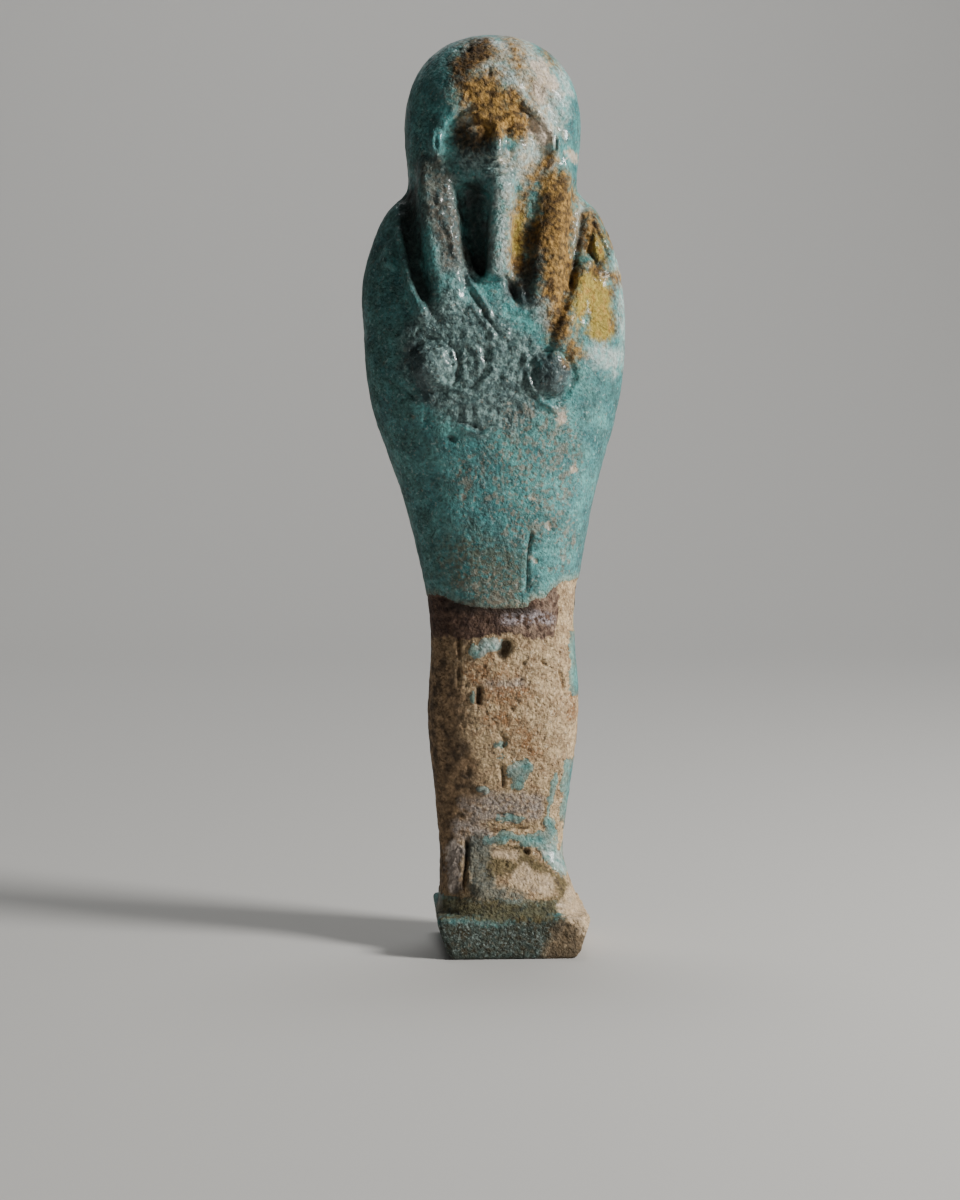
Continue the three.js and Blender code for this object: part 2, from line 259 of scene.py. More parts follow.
# %% [markdown]
# Marks are drawn as short lines in the front view. The distance of every corner from such a line,
# a little disturbed so that no edge is clean, gives both the grooves and the outlines of stains.

# %% Distances in the front view
# Marks fade out round the flanks between these depths, in mm
FLANK_FADE = (-1.5, 0)
# A mark longer than LONG_MARK half widths grows fainter and narrower at its ends
LONG_MARK = 4
TAPER_LENGTH = 2.2
TAPER_HEIGHT = 0.25
TAPER_WIDTH = 0.6
TINY = 1e-9


def distance_to_line(corners, points):
    seen = corners[:, [0, 2]]
    nearest = np.full(len(corners), np.inf)
    for first, last in zip(points[:-1], points[1:]):
        start = np.array(first)
        way = np.array(last) - start
        share = np.clip((seen - start) @ way / (way @ way + TINY), 0, 1)
        nearest = np.minimum(nearest, np.linalg.norm(seen - start - share[:, None] * way, axis=1))
    return nearest


def mark(corners, wobble, points, half_width):
    """1 along the line and 0 beyond its half width, on the front only."""
    on_front = 1 - ease(corners[:, 1], *FLANK_FADE)
    # The first point stands twice, so that one point alone makes a line too
    points = [np.array(point) for point in (points[0], *points)]
    distance = distance_to_line(corners, points) + wobble
    if np.linalg.norm(points[-1] - points[0]) < LONG_MARK * half_width:
        return on_front * (1 - ease(distance, 0, half_width))
    ends = [distance_to_line(corners, [end, end]) for end in (points[0], points[-1])]
    from_ends = ease(np.minimum(*ends), 0, TAPER_LENGTH * half_width)
    taper = TAPER_HEIGHT + (1 - TAPER_HEIGHT) * from_ends
    narrowed = half_width * (TAPER_WIDTH + (1 - TAPER_WIDTH) * taper)
    return on_front * taper * (1 - ease(distance, 0, narrowed))


# %% [markdown]
# The fists hold two tools, and the arms lie crossed beneath a plain shroud. The moulding was never
# crisp: grooves beside the tools and lappets, a ring round each fist, and an arc beside one of them.

# %% Marks of the tools, lappets and fists
LEFT_FIST = (-10.1, 75.4)
RIGHT_FIST = (4.6, 74.2)
# Each mark: points across and up, half width, height (negative is a groove)
GROOVES = {
    "between the left tool and lappet": (
        [(-13.6, 98), (-13.3, 92.5), (-12.4, 88), (-11.0, 82.4)], 1.3, -1.2),
    "left of the beard": ([(-5.6, 97.6), (-5.0, 92), (-4.2, 87.6)], 1.5, -0.7),
    "between the right lappet and tool": ([(9.3, 96), (8.8, 92.5), (7.6, 87.3), (7.3, 84.5)], 0.6, -0.55),
    "round the right blade": (
        [(10.6, 93.9), (12.5, 89.9), (10.9, 88.1), (9.9, 90.1), (10.6, 93.9)], 0.4, -0.4),
    "notch under the beard": ([(-1.0, 86.6), (0.0, 85.0), (0.7, 83.0)], 0.95, -1.1),
    "crease over the chest": ([(-5.9, 85.2), (-4.0, 82.6), (-2.0, 79.3)], 0.45, -0.35),
    "beside the left fist": ([(-7.3, 77.4), (-6.9, 75.4), (-7.4, 73.2)], 0.45, -0.35),
    "arc on the chest": ([(-4.9, 78.6), (-3.7, 77.2), (-3.5, 75.3), (-4.7, 73.3), (-6.2, 71.9)], 0.5, -0.26),
    "above the waved line": ([(-6.8, 68.6), (-5.4, 68), (-4.2, 67.5), (-2.2, 68.5)], 0.5, -0.3),
    "slanted mark": ([(-13.7, 72.5), (-12.0, 70.8)], 0.5, -0.4),
    "scrape below the left fist": ([(-11.0, 70.3), (-11.1, 68.0)], 0.5, -0.3),
    "short scratch": ([(-2.6, 58.6), (-2.6, 57.3)], 0.3, -0.22),
    "below the right lappet": ([(-1.2, 82), (2.0, 81.4), (5.2, 81.8)], 0.8, -0.35),
}
RIDGES = {
    "left tool": ([(-14.3, 94), (-13.0, 86.5), (-10.9, 81.4)], 0.9, 0.6),
    "left blade": ([(-15.5, 91.4), (-16.2, 89.5)], 0.45, 0.3),
    "outer side of the left lappet": ([(-11.2, 101), (-11.1, 95), (-10.4, 90), (-9.3, 85.4)], 1.3, 0.55),
    "floor of the opening": ([(1.2, 108.2), (2.6, 107.0), (3.6, 105.2), (3.9, 103.0)], 1.3, 0.6),
    "edge of the left lappet": (
        [(-8.2, 93), (-7.5, 89.3), (-5.6, 86.3), (-4.0, 83.8), (-2.4, 80.4)], 0.6, 0.35),
    "arc on the chest": (
        [(-5.6, 83), (-2.9, 79.9), (-2.5, 77.3), (-2.7, 74.8), (-4.4, 72.4), (-7.4, 71.5)], 0.55, 0.22),
    "waved line": ([(-7.0, 68.0), (-5.6, 67.4), (-4.3, 66.8), (-3.2, 67.3), (-2.2, 67.9)], 0.45, 0.4),
    "rim round the right fist": (
        [(1.5, 77.0), (1.6, 74.2), (2.4, 72.3), (3.7, 71.0), (5.7, 69.6)], 0.6, 0.6),
}
WORN_AWAY = {
    "rim of the opening": ([(2.2, 109.9), (4.4, 108.5), (5.6, 106.6), (6.0, 105.2)], 1.8, -0.6),
}
# Each ring: centre, radius, half width, height
RINGS = {
    "round the right fist": (RIGHT_FIST, 3.15, 0.55, -0.5),
    "round the left fist": (LEFT_FIST, 3.3, 0.6, -0.22),
}

# %% [markdown]
# The height of the relief is added up over the whole skin first. The skin itself is only moved when
# all the marks, cracks and grain are in it, along its own normals.

# %% Carve the tools, lappets and fists
WOBBLE_DEPTH = 0.26


def carve(corners, wobble, marks):
    height = np.zeros(len(corners))
    for points, half_width, proud in marks.values():
        height += proud * mark(corners, wobble, points, half_width)
    return height


def ring(corners, wobble, centre, radius, half_width):
    seen = corners[:, [0, 2]] - np.array(centre)
    distance = np.abs(np.linalg.norm(seen, axis=1) - radius) + wobble
    return (1 - ease(distance, 0, half_width)) * (1 - ease(corners[:, 1], *FLANK_FADE))


wobble = WOBBLE_DEPTH * rough_cloud(skin, size=1.1, seed=3)
relief = carve(skin, wobble, GROOVES) + carve(skin, wobble, RIDGES) + carve(skin, wobble, WORN_AWAY)
for centre, radius, half_width, proud in RINGS.values():
    relief += proud * ring(skin, wobble, centre, radius, half_width)
print("marks carved:", len(GROOVES) + len(RIDGES) + len(WORN_AWAY) + len(RINGS))

# %% [markdown]
# The face is plain and calm, after the common pattern of such figures: wide lidded eyes under level
# brows, a straight nose and a closed mouth. It is drawn on half the face and mirrored.

# %% Carve the face
CHIN = 0.824 * HEIGHT
FACE_TALL = 11.8
FACE_WOBBLE = 0.2
# Each feature: points across from the middle and as a share of the face, half width, height
FACE_MARKS = {
    "bridge of the nose": ([(0, 0.66), (0, 0.4)], 0.95, 0.4),
    "tip of the nose": ([(0, 0.38)], 1.0, 0.35),
    "parting of the lips": ([(-2.0, 0.232), (0, 0.24), (2.0, 0.232)], 0.4, -0.45),
    "upper lip": ([(-1.5, 0.262), (0, 0.275), (1.5, 0.262)], 0.5, 0.28),
    "lower lip": ([(-1.2, 0.195), (0, 0.185), (1.2, 0.195)], 0.6, 0.34),
    "chin": ([(-0.5, 0.06), (0.5, 0.06)], 1.5, 0.3),
}
FACE_SIDES = {
    "socket": ([(1.9, 0.62), (3.9, 0.61)], 1.55, -0.7),
    "eye": ([(2.1, 0.605), (3.4, 0.605)], 0.85, 0.55),
    "upper lid": ([(1.2, 0.595), (2.1, 0.655), (3.2, 0.66), (4.5, 0.6), (5.6, 0.595)], 0.45, 0.45),
    "lower lid": ([(1.3, 0.59), (2.3, 0.552), (3.3, 0.552), (4.4, 0.59)], 0.38, 0.3),
    "brow": ([(0.9, 0.735), (2.4, 0.785), (4.0, 0.775), (5.5, 0.7)], 0.6, 0.42),
    "wing of the nose": ([(0.95, 0.375)], 0.6, 0.28),
    "beside the nose": ([(1.55, 0.42), (1.75, 0.36)], 0.5, -0.2),
    "cheek": ([(3.2, 0.42)], 2.4, 0.25),
    "corner of the mouth": ([(2.15, 0.235)], 0.5, -0.18),
    "hollow of the ear": ([(7.4, 0.62), (7.6, 0.5), (7.3, 0.4)], 0.4, -0.35),
}


def face_points(*pairs):
    return [(LEAN + across, CHIN + share * FACE_TALL) for across, share in pairs]


def carve_face(corners, wobble):
    height = np.zeros(len(corners))
    for points, half_width, proud in FACE_MARKS.values():
        height += proud * mark(corners, wobble, face_points(*points), half_width)
    for points, half_width, proud in FACE_SIDES.values():
        for hand in (-1, 1):
            half = [(hand * across, share) for across, share in points]
            height += proud * mark(corners, wobble, face_points(*half), half_width)
    return height


relief += carve_face(skin, FACE_WOBBLE * wobble)
print("face marks:", len(FACE_MARKS) + 2 * len(FACE_SIDES))

# %% [markdown]
# Cracks, bubbles and lost grains go deeper than the carving. The lower legs have the most of them,
# because the glaze no longer closes the core there.

# %% Cracks and holes
CRACK_WOBBLE = 0.7
CRACKS = {
    "belly": ([(2.5, 54.7), (2.0, 51.7), (1.9, 46.6)], 0.3, -0.42),
    "knee, upper": ([(-6.8, 41.2), (-6.8, 38.6)], 0.38, -0.7),
    "knee, lower": ([(-6.8, 37.2), (-6.9, 35.2)], 0.34, -0.6),
    "slot on the shin": ([(-4.2, 34.4), (-4.3, 32.7)], 0.6, -0.8),
    "right edge": ([(6.3, 36.9), (6.6, 36.0), (7.0, 33.8)], 0.3, -0.45),
    "hook on the shin": ([(-1.6, 28.7), (-0.8, 27.9), (-1.0, 27.0), (-1.6, 26.8)], 0.38, -0.5),
    "beside the glaze patch": ([(-1.3, 24.6), (-1.0, 23.1), (-1.0, 21.0)], 0.38, -0.6),
    "right shin": ([(4.9, 22.6), (4.8, 21.2)], 0.3, -0.3),
    "ankle, top": ([(-2.3, 18.0), (-1.0, 17.7), (1.0, 17.9)], 0.4, -0.3),
    "ankle, middle": ([(-3.6, 15.9), (-2.9, 15.4), (-1.2, 15.6), (0.4, 15.9), (2.9, 15.8)], 0.4, -0.38),
    "ankle, bottom": ([(-3.6, 13.3), (-1.0, 13.1), (1.4, 13.4)], 0.42, -0.34),
    "ankle to the base": ([(-5.6, 14.7), (-5.8, 12.0), (-6.2, 9.7), (-6.7, 7.6)], 0.5, -0.85),
}
HOLES = {
    "knee": ([(-1.2, 38.9), (-0.7, 39.9)], 1.2, -1.2),
    "belly, left": ([(-7.8, 66.4)], 0.95, -0.55),
    "left chest": ([(-14.5, 79.7)], 0.5, -0.3),
    "right fist": ([(6.3, 75.3)], 0.8, -0.35),
    "knee, right": ([(1.6, 37.6)], 0.5, -0.5),
    "knee, far right": ([(3.9, 37.9), (4.4, 37.4)], 0.4, -0.4),
    "shin": ([(0.1, 31.8)], 0.45, -0.45),
    "shin, upper": ([(1.3, 35.6)], 0.45, -0.35),
    "shin, left": ([(-5.5, 24.2), (-5.5, 23.8)], 0.4, -0.4),
    "green spot": ([(-6.6, 30.7)], 0.5, -0.25),
    "ankle": ([(1.9, 13.0), (2.2, 13.0)], 0.6, -0.75),
    "belly spot, upper": ([(4.7, 55.2)], 0.6, -0.3),
    "belly spot, lower": ([(2.9, 50.9)], 0.6, -0.3),
    "belly spot, middle": ([(2.6, 58.9)], 0.5, -0.25),
    "belly spot, right": ([(7.9, 62.5)], 0.5, -0.25),
    "belly spot, left": ([(-6.2, 58.9)], 0.5, -0.25),
}
relief += carve(skin, CRACK_WOBBLE * wobble, CRACKS) + carve(skin, wobble, HOLES)
print("cracks and holes:", len(CRACKS) + len(HOLES))

# %% [markdown]
# Next come the outlines of the finishes. Each is a field over the skin, in millimetres: positive
# inside the stain or patch, negative outside, so that its edge can be moved and roughened later.
# Patches are brush strokes: a line in the front view with a radius, that fades behind the flanks.

# %% Patches of brush strokes
FLANK_DEPTH = -1.0
BACK_FADE = 0.8
FAR_OUTSIDE = -20.0


def patch(corners, *strokes):
    """Each stroke is a radius and then one or more points, across and up."""
    field = np.full(len(corners), FAR_OUTSIDE)
    behind = BACK_FADE * np.clip(corners[:, 1] - FLANK_DEPTH, 0, None)
    for radius, *points in strokes:
        if len(points) == 1:
            points = points * 2
        field = np.maximum(field, radius - distance_to_line(corners, points) - behind)
    return field


def height_along(corners, points):
    across, up = zip(*points)
    return np.interp(corners[:, 0], across, up)


# %% [markdown]
# The glaze ends in a nearly level line above the knees. Below it only scraps are left: small ones on
# the shins and the instep, larger ones down the right flank, and the front of the base.

# %% Where glaze is left
GLAZE_EDGE = [
    (-8.6, 46.2), (-7.6, 45.6), (-6.1, 44.9), (1.9, 44.8), (2.6, 45.9), (4.4, 46.0), (5.3, 47.1),
    (6.6, 48.0), (8.4, 48.2),
]
BACK_EDGE = [(-8.6, 46.2), (-5, 49), (-1, 46.5), (3, 44.2), (8.4, 48.2)]
ROUND_TO_BACK = (-2, 3)
GLAZE_SCRAPS = [
    (0.75, (-4.4, 39.2), (-3.4, 40.1), (-2.0, 39.9)),
    (0.9, (0.0, 23.9), (1.8, 24.2), (0.9, 21.8)),
    (0.3, (5.8, 23.0), (5.3, 20.3), (4.9, 17.4)),
    (0.75, (-2.6, 14.4), (0.3, 14.8), (2.9, 14.5)),
    (0.25, (-1.8, 17.2), (2.2, 17.2)),
    (1.1, (3.8, 14.4), (5.6, 12.4), (6.7, 10.6)),
    (0.6, (5.0, 17.0), (5.6, 13.5)),
    (0.35, (-4.9, 33.9), (-4.9, 33.0)),
    (0.3, (-1.3, 27.2), (-1.1, 25.6)),
    (0.25, (-4.0, 21.3), (-2.8, 20.9)),
]
# Each scrap on the right flank: inner edge across, middle height, half its height, rear edge
FLANK_SCRAPS = [(7.7, 37.2, 4.3, 2.2), (6.7, 18.5, 6.5, 1.6)]
STRIP_FRONT = 0.9
STRIP_REAR = 3.8
STRIP_INNER = 5
STRIP_BOTTOM = 11
BASE_GLAZE_TOP = 7.4
# The glaze of the base ends on the right in a slanting line, given at its foot
BASE_GLAZE_RIGHT = 5.6
BASE_GLAZE_FOOT = 2.6
BASE_GLAZE_SLOPE = 0.6


def glaze_field(corners):
    across, deep, up = corners.T
    small = rough_cloud(corners, size=1.1, seed=12)
    broad = rough_cloud(corners, size=5, seed=22)
    back = ease(deep, *ROUND_TO_BACK)
    edge = height_along(corners, GLAZE_EDGE) * (1 - back) + height_along(corners, BACK_EDGE) * back
    strip = [deep - STRIP_FRONT, STRIP_REAR - deep, across - STRIP_INNER, up - STRIP_BOTTOM]
    right_flank = np.minimum.reduce(strip) + 1.5 * broad
    for inner, middle, half_tall, rear in FLANK_SCRAPS:
        scrap = np.minimum.reduce([across - inner, half_tall - np.abs(up - middle), rear - deep])
        right_flank = np.maximum(right_flank, scrap + 0.5 * broad)
    base_right = BASE_GLAZE_RIGHT - across + BASE_GLAZE_SLOPE * (up - BASE_GLAZE_FOOT)
    return np.maximum.reduce([
        up - edge + 0.3 * small,
        patch(corners, *GLAZE_SCRAPS) + 0.75 * small,
        right_flank + 0.5 * small,
        np.minimum(BASE_GLAZE_TOP - up, base_right) + 0.5 * small,
    ])


# %% [markdown]
# Under the edge of the glaze a purple-brown band shows where more of it flaked away. Below the band
# the core took up rust and ash, and on the left it is painted browner and darker, partly a stain and
# partly painted shade of the unlit side.

# %% Stains on the bare core
BAND_END = [(-9.5, 40.9), (-4.1, 40.8), (-1.1, 41.6), (1.1, 41.3), (3.0, 40.5), (5.6, 41.2), (6.4, 45.5)]
BAND_RIGHT = 6.2
# Behind the figure the band waves more and runs on to the right
BAND_WAVES_BEHIND = 2
BAND_WIDER_BEHIND = 3
# The brown left side, a stain and painted shade together: its edge across, and how much further it
# comes at the ankle and on the flank
BROWN_EDGE = -6.3
BROWN_ANKLE = 2.2
ANKLE_BOTTOM = (12, 18)
ANKLE_TOP = (22, 32)
BROWN_FLANK = 0.35
BROWN_FLANK_DEPTH = -3
# Each stain: how far small and broad clouds push its edge, in mm, and its strokes
CORE_STAINS = {
    "band_fade": (0.8, 0, [(1.6, (1.4, 42.2), (5.6, 42.6)), (1.3, (4.4, 45.4), (6.0, 46.0))]),
    "crust": (0.5, 0, [(0.9, (-0.6, 43.4), (2.8, 43.5)), (0.7, (3, 43.9), (4.6, 43.2))]),
    "rust": (1.3, 0.6, [
        (1.1, (-4.3, 36.6), (-0.2, 36.7)),
        (1.3, (-2.4, 33.6), (0.6, 33.3)),
        (0.5, (-2.6, 38.9), (-2.6, 38.6)),
        (1.0, (-1.6, 30.6), (0.4, 29.9)),
        (0.9, (1.8, 27.3), (2.6, 26.4)),
        (0.6, (8.0, 33.0), (8.2, 31.0)),
    ]),
    "ash": (1.1, 0, [
        (1.7, (-4.6, 18.9), (0.5, 19.1), (3.4, 18.6)),
        (1.3, (-6.6, 15.9), (-3.6, 15.0)),
        (0.8, (-2.6, 35.0), (0.8, 35.0)),
    ]),
}


def band_field(corners, behind, small, broad):
    below = corners[:, 2] - height_along(corners, BAND_END) - BAND_WAVES_BEHIND * behind * broad
    return np.minimum(below, BAND_RIGHT - corners[:, 0] + BAND_WIDER_BEHIND * behind) + 0.5 * small


def shadow_brown_field(corners, small, broad):
    across, deep, up = corners.T
    edge = BROWN_EDGE + BROWN_ANKLE * (1 - ease(up, *ANKLE_TOP)) * ease(up, *ANKLE_BOTTOM)
    on_flank = BROWN_FLANK * np.maximum(deep - BROWN_FLANK_DEPTH, 0)
    return edge - across + on_flank + 1.6 * broad + 0.6 * small


# %% [markdown]
# Soil left crusts on the glaze of the head and the right shoulder: golden and dark brown ones, and a
# straw-coloured paste. In a few spots the glaze broke away and the clean core shows.

# %% Crusts on the head and shoulder
CRUSTS = {
    "ochre": (0.9, 0, [
        (3.0, (-3.9, 109.5), (-2.6, 105.8)),
        (1.8, (-0.3, 108.5), (0.6, 104.5)),
        (1.8, (-5.8, 113.0), (-3.8, 114.8)),
        (0.9, (-0.2, 116.2), (1.0, 112.0)),
        (0.35, (4.4, 115.2), (5.6, 113.2)),
        (0.3, (2.2, 110.6), (2.6, 107.4)),
        (0.7, (1.9, 97.0), (3.0, 99.3), (4.6, 101.6)),
        (1.3, (0.9, 96.0), (0.6, 91.5), (0.4, 88.2)),
        (3.0, (5.4, 97.0), (5.2, 92.0)),
        (2.6, (5.6, 90.0), (5.6, 85.5)),
        (1.6, (5.8, 84.0), (6.0, 79.4)),
        (1.3, (6.6, 78.2), (7.4, 77.2)),
        (1.4, (10.2, 94.2), (9.9, 90.4)),
        (1.2, (10.4, 87.4), (13.4, 86.9)),
        (0.7, (12.2, 95.4), (13.4, 91.4)),
    ]),
    "dark_ochre": (0.7, 0, [
        (1.6, (-6.6, 112.4), (-4.4, 115.4)),
        (1.6, (-6.4, 104.0), (-4.4, 103.0)),
        (1.3, (2.2, 92.0), (2.4, 86.6)),
        (0.9, (4.3, 96.5), (4.2, 93.0)),
        (0.45, (9.0, 93.5), (7.9, 88.0)),
        (0.4, (10.6, 94.0), (12.6, 89.8), (10.8, 87.9)),
        (0.35, (13.2, 85.8), (13.2, 80.0)),
        (0.7, (5.7, 80.2), (6.0, 78.5)),
    ]),
    "straw": (0.6, 0, [
        (1.9, (10.9, 84.6), (11.4, 80.2)),
        (0.9, (11.2, 91.6), (11.5, 89.4)),
        (1.0, (9.3, 86.0), (8.4, 82.0)),
        (0.6, (0.8, 94.0), (0.6, 90.0)),
    ]),
    "bare": (0.4, 0, [
        (1.1, (3.3, 113.0), (4.6, 110.9)),
        (0.7, (3.1, 110.2), (3.6, 108.8)),
        (1.0, (3.2, 104.9), (4.0, 103.9)),
        (0.7, (7.5, 102.2), (7.9, 101.9)),
        (0.35, (4.7, 55.2)),
        (0.35, (2.9, 50.9)),
        (0.3, (2.6, 58.9)),
        (0.25, (7.9, 62.5)),
        (0.25, (-6.2, 58.9)),
        (0.5, (6.2, 68.6), (6.4, 69.2)),
    ]),
}

# %% [markdown]
# The glaze itself weathered in many ways. It turned cream or hazy on the crown, the chin and the
# beard and slate grey over the chest and fists. Its deepest hollows hold soil and painted shade, and
# painted shade darkens the slate under the right lappet and beside the left fist.

# %% Weathering of the glaze
WEATHERING = {
    "cream": (1.5, 0.8, [
        (2.2, (0.6, 115.6), (3.6, 110.0), (3.2, 104.0)),
        (1.4, (-5.6, 110.0), (-5.8, 105.0)),
        (1.1, (-0.6, 101.4), (1.4, 101.0)),
        (0.9, (1.8, 98.0), (3.8, 101.0)),
        (1.0, (9.0, 96.0), (8.2, 90.0)),
        (1.0, (3.4, 90.4), (3.4, 86.2)),
    ]),
    "haze": (1.3, 0.5, [
        (3.2, (-3.6, 113.6), (0.4, 112.6), (4.4, 109.0)),
        (1.7, (3.6, 102.4), (2.0, 101.2)),
        (1.6, (-0.9, 96.8), (-1.4, 88.4)),
        (1.5, (11.3, 77.2), (13.6, 76.6)),
        (1.2, (13.9, 90.0), (14.4, 80.0)),
        (1.6, (6.4, 110.0), (6.2, 112.6)),
        (1.6, (3.6, 82.6), (5.0, 81.6)),
        (1.0, (-3.8, 39.9), (-2.0, 40.1)),
        (0.5, (-0.4, 24.2), (0.8, 24.4)),
        (0.7, (5.2, 13.6), (6.7, 10.6)),
    ]),
    # Dark soil and painted shade, in the hollows beside the beard and tools and in the ankle crack
    "soil_and_shade": (0.5, 0, [
        (1.5, (-5.0, 97.2), (-4.6, 93.0), (-4.0, 88.2)),
        (1.0, (-13.2, 97.0), (-12.3, 89.0), (-11.0, 83.6)),
        (0.9, (3.0, 88.4), (1.8, 85.6)),
        (0.5, (-7.0, 8.0), (-6.4, 13.0)),
        (0.5, (-7.6, 45.0), (2.0, 44.3)),
    ]),
    "slate": (1.2, 0.8, [
        (2.7, RIGHT_FIST),
        (2.2, (-8.9, 96.5), (-8.2, 90.5), (-6.2, 87.4)),
        # Painted shade under the right lappet
        (1.8, (2.6, 83.6), (0.2, 84.6)),
        (7.5, (-6.5, 77.0), (-3.5, 74.0)),
        (2.4, (-4.6, 101.9), (-1.6, 100.5)),
        (1.3, (3.9, 85.0), (3.9, 80.4)),
        (1.0, (-3.9, 21.4), (-3.2, 20.6)),
    ]),
    # Dark slate on the right fist, and painted shade under the right lappet and left of the left fist
    "dark_slate_and_shade": (0.7, 0, [
        (2.3, (4.9, 74.6)),
        (1.0, (5.9, 72.4)),
        (0.9, (2.6, 83.6), (0.2, 84.6)),
        (0.9, (-12.6, 77.6), (-11.0, 71.4)),
    ]),
    "deep": (1.6, 0, [
        (2.6, (-4.6, 63.8), (-3.4, 58.5), (-1.8, 53.6)),
        (1.2, (15.2, 74.0), (13.6, 67.0), (11.4, 58.0), (9.4, 50.0)),
        (1.1, (7.6, 108.6), (7.8, 104.6)),
    ]),
    "film": (1.1, 0, [(2.1, (-10.2, 100.0), (-8.8, 93.0), (-7.8, 89.6))]),
    "olive": (1.4, 0, [(3.8, (-5.4, 50.4), (-1.6, 48.2))]),
    "worn": (1.6, 1.0, [
        (4.4, (1.5, 66.0), (1.8, 57.5)),
        (2.4, (5.2, 68.0), (6.2, 58.0)),
        (1.4, (-6.4, 63.5), (-4.6, 59.0)),
        (2.4, (-4.0, 47.5), (0.0, 46.5)),
        (1.2, (6.8, 55.0), (6.2, 50.0)),
    ]),
}

# %% [markdown]
# Feet and base lie lowest, so they are the dirtiest: an olive deposit in the angle above the base, a
# grey one beside the ankle crack, and a brown and a buff stain on the broken corner.

# %% Stains on the foot and the base
BASE_GREY_STROKE = (4.0, (-8.0, 2.6), (4.6, 2.4))
BASE_GREY_TOP = 5.3
FOOT_AND_BASE = {
    "foot_olive": (0.6, 0, [
        (0.7, (1.2, 12.3), (4.4, 10.5), (6.7, 8.8), (6.9, 7.0)),
        (0.4, (6.7, 8.9), (8.2, 8.2)),
        (1.15, (-2.3, 11.3), (-0.2, 11.1)),
        (1.1, (-9.4, 6.1), (-6.7, 6.3), (3.5, 6.1), (6.6, 6.4)),
        (0.4, (-1.2, 13.4), (1.2, 13.3)),
    ]),
    "foot_grey": (0.8, 0, [(1.8, (-4.1, 13.2), (-3.8, 9.4)), (0.9, (-4.4, 8.2), (0.6, 7.9))]),
    # The flake scar shows pale core, and is painted paler still as a highlight
    "flake": (0.7, 0, [(0.8, (-7.2, 13.6), (-7.3, 8.6))]),
    # A painted highlight along the upper edge of the base front
    "base_edge_highlight": (0.9, 0, [(0.6, (-9.2, 5.6), (-5.0, 5.3), (-1.2, 5.2))]),
    "base_brown": (0.7, 0, [(1.6, (6.6, 3.4), (7.9, 2.2)), (1.3, (5.6, 1.0), (7.9, 1.0))]),
    "buff": (0.3, 0, [
        (0.6, (-1.8, 12.9), (0.4, 12.6)),
        (0.7, (0.5, 9.9), (1.8, 10.7)),
        (1.1, (1.8, 9.6), (4.4, 9.2)),
        (1.5, (8.2, 7.0), (9.6, 4.6)),
        (0.8, (6.4, 6.2), (7.8, 5.4)),
    ]),
}

# %% [markdown]
# All the tables come together here. Grime and shade is the one finish without strokes: it is grime
# behind the figure and on the base, where nobody wiped it, and painted shade on its left side.

# %% Work out the fields
FRONT_TO_BEHIND = (-3, 1)
GRIME_START = 0.7
GRIME_BEHIND = 1.3
LEFT_SIDE_SHADE = 1.6
GRIME_BASE = 1.8
LEFT_SIDE = (7, 14)


def grime_and_shade_field(corners, behind, small, broad):
    across, _, up = corners.T
    grime_and_shade = 1.2 * broad + 0.8 * small + GRIME_BEHIND * behind
    # The left side is painted darker, as shade
    grime_and_shade += LEFT_SIDE_SHADE * ease(-across, *LEFT_SIDE) - GRIME_START
    return grime_and_shade + GRIME_BASE * (1 - ease(up, *BASE_TOP))


def finish_fields(corners):
    small = rough_cloud(corners, size=1.6, seed=11)
    broad = rough_cloud(corners, size=5.5, seed=21)
    behind = ease(corners[:, 1], *FRONT_TO_BEHIND)
    base_grey = np.minimum(patch(corners, BASE_GREY_STROKE), BASE_GREY_TOP - corners[:, 2])
    fields = {
        "glaze": glaze_field(corners),
        "band": band_field(corners, behind, small, broad),
        "shadow_brown": shadow_brown_field(corners, small, broad),
        "base_grey": base_grey + 0.8 * small,
        "grime_and_shade": grime_and_shade_field(corners, behind, small, broad),
    }
    for table in (CORE_STAINS, CRUSTS, WEATHERING, FOOT_AND_BASE):
        for name, (small_push, broad_push, strokes) in table.items():
            fields[name] = patch(corners, *strokes) + small_push * small + broad_push * broad
    return fields


skin_fields = finish_fields(skin)
print("finishes:", ", ".join(skin_fields))

# %% [markdown]
# The glaze is a layer, so it stands a little above the bare core, and it is dimpled with tiny
# bubbles. The core has lost grains everywhere, and the brown deposits are lumpy.

# %% Layer and grain
GLAZE_THICK = 0.14
BAND_STEP = 0.1
CORE_LUMPS = 0.1
LOST_GRAINS = 0.28
BODY_WAVES = 0.06
GLAZE_PITS = 0.1
GLAZE_LUMPS = 0.06
CHEST_PITS = 0.12
CHEST_LUMPS = 0.2
DEPOSIT_LUMPS = 0.2
CROWN_PITS = 0.4
FACE_CALM = 0.65
FACE_STROKE = (5.4, (LEAN, CHIN + 3.5), (LEAN, CHIN + 6.5))
CROWN_STROKE = (1.6, (-5.4, 114.4), (-3.8, 111.4))


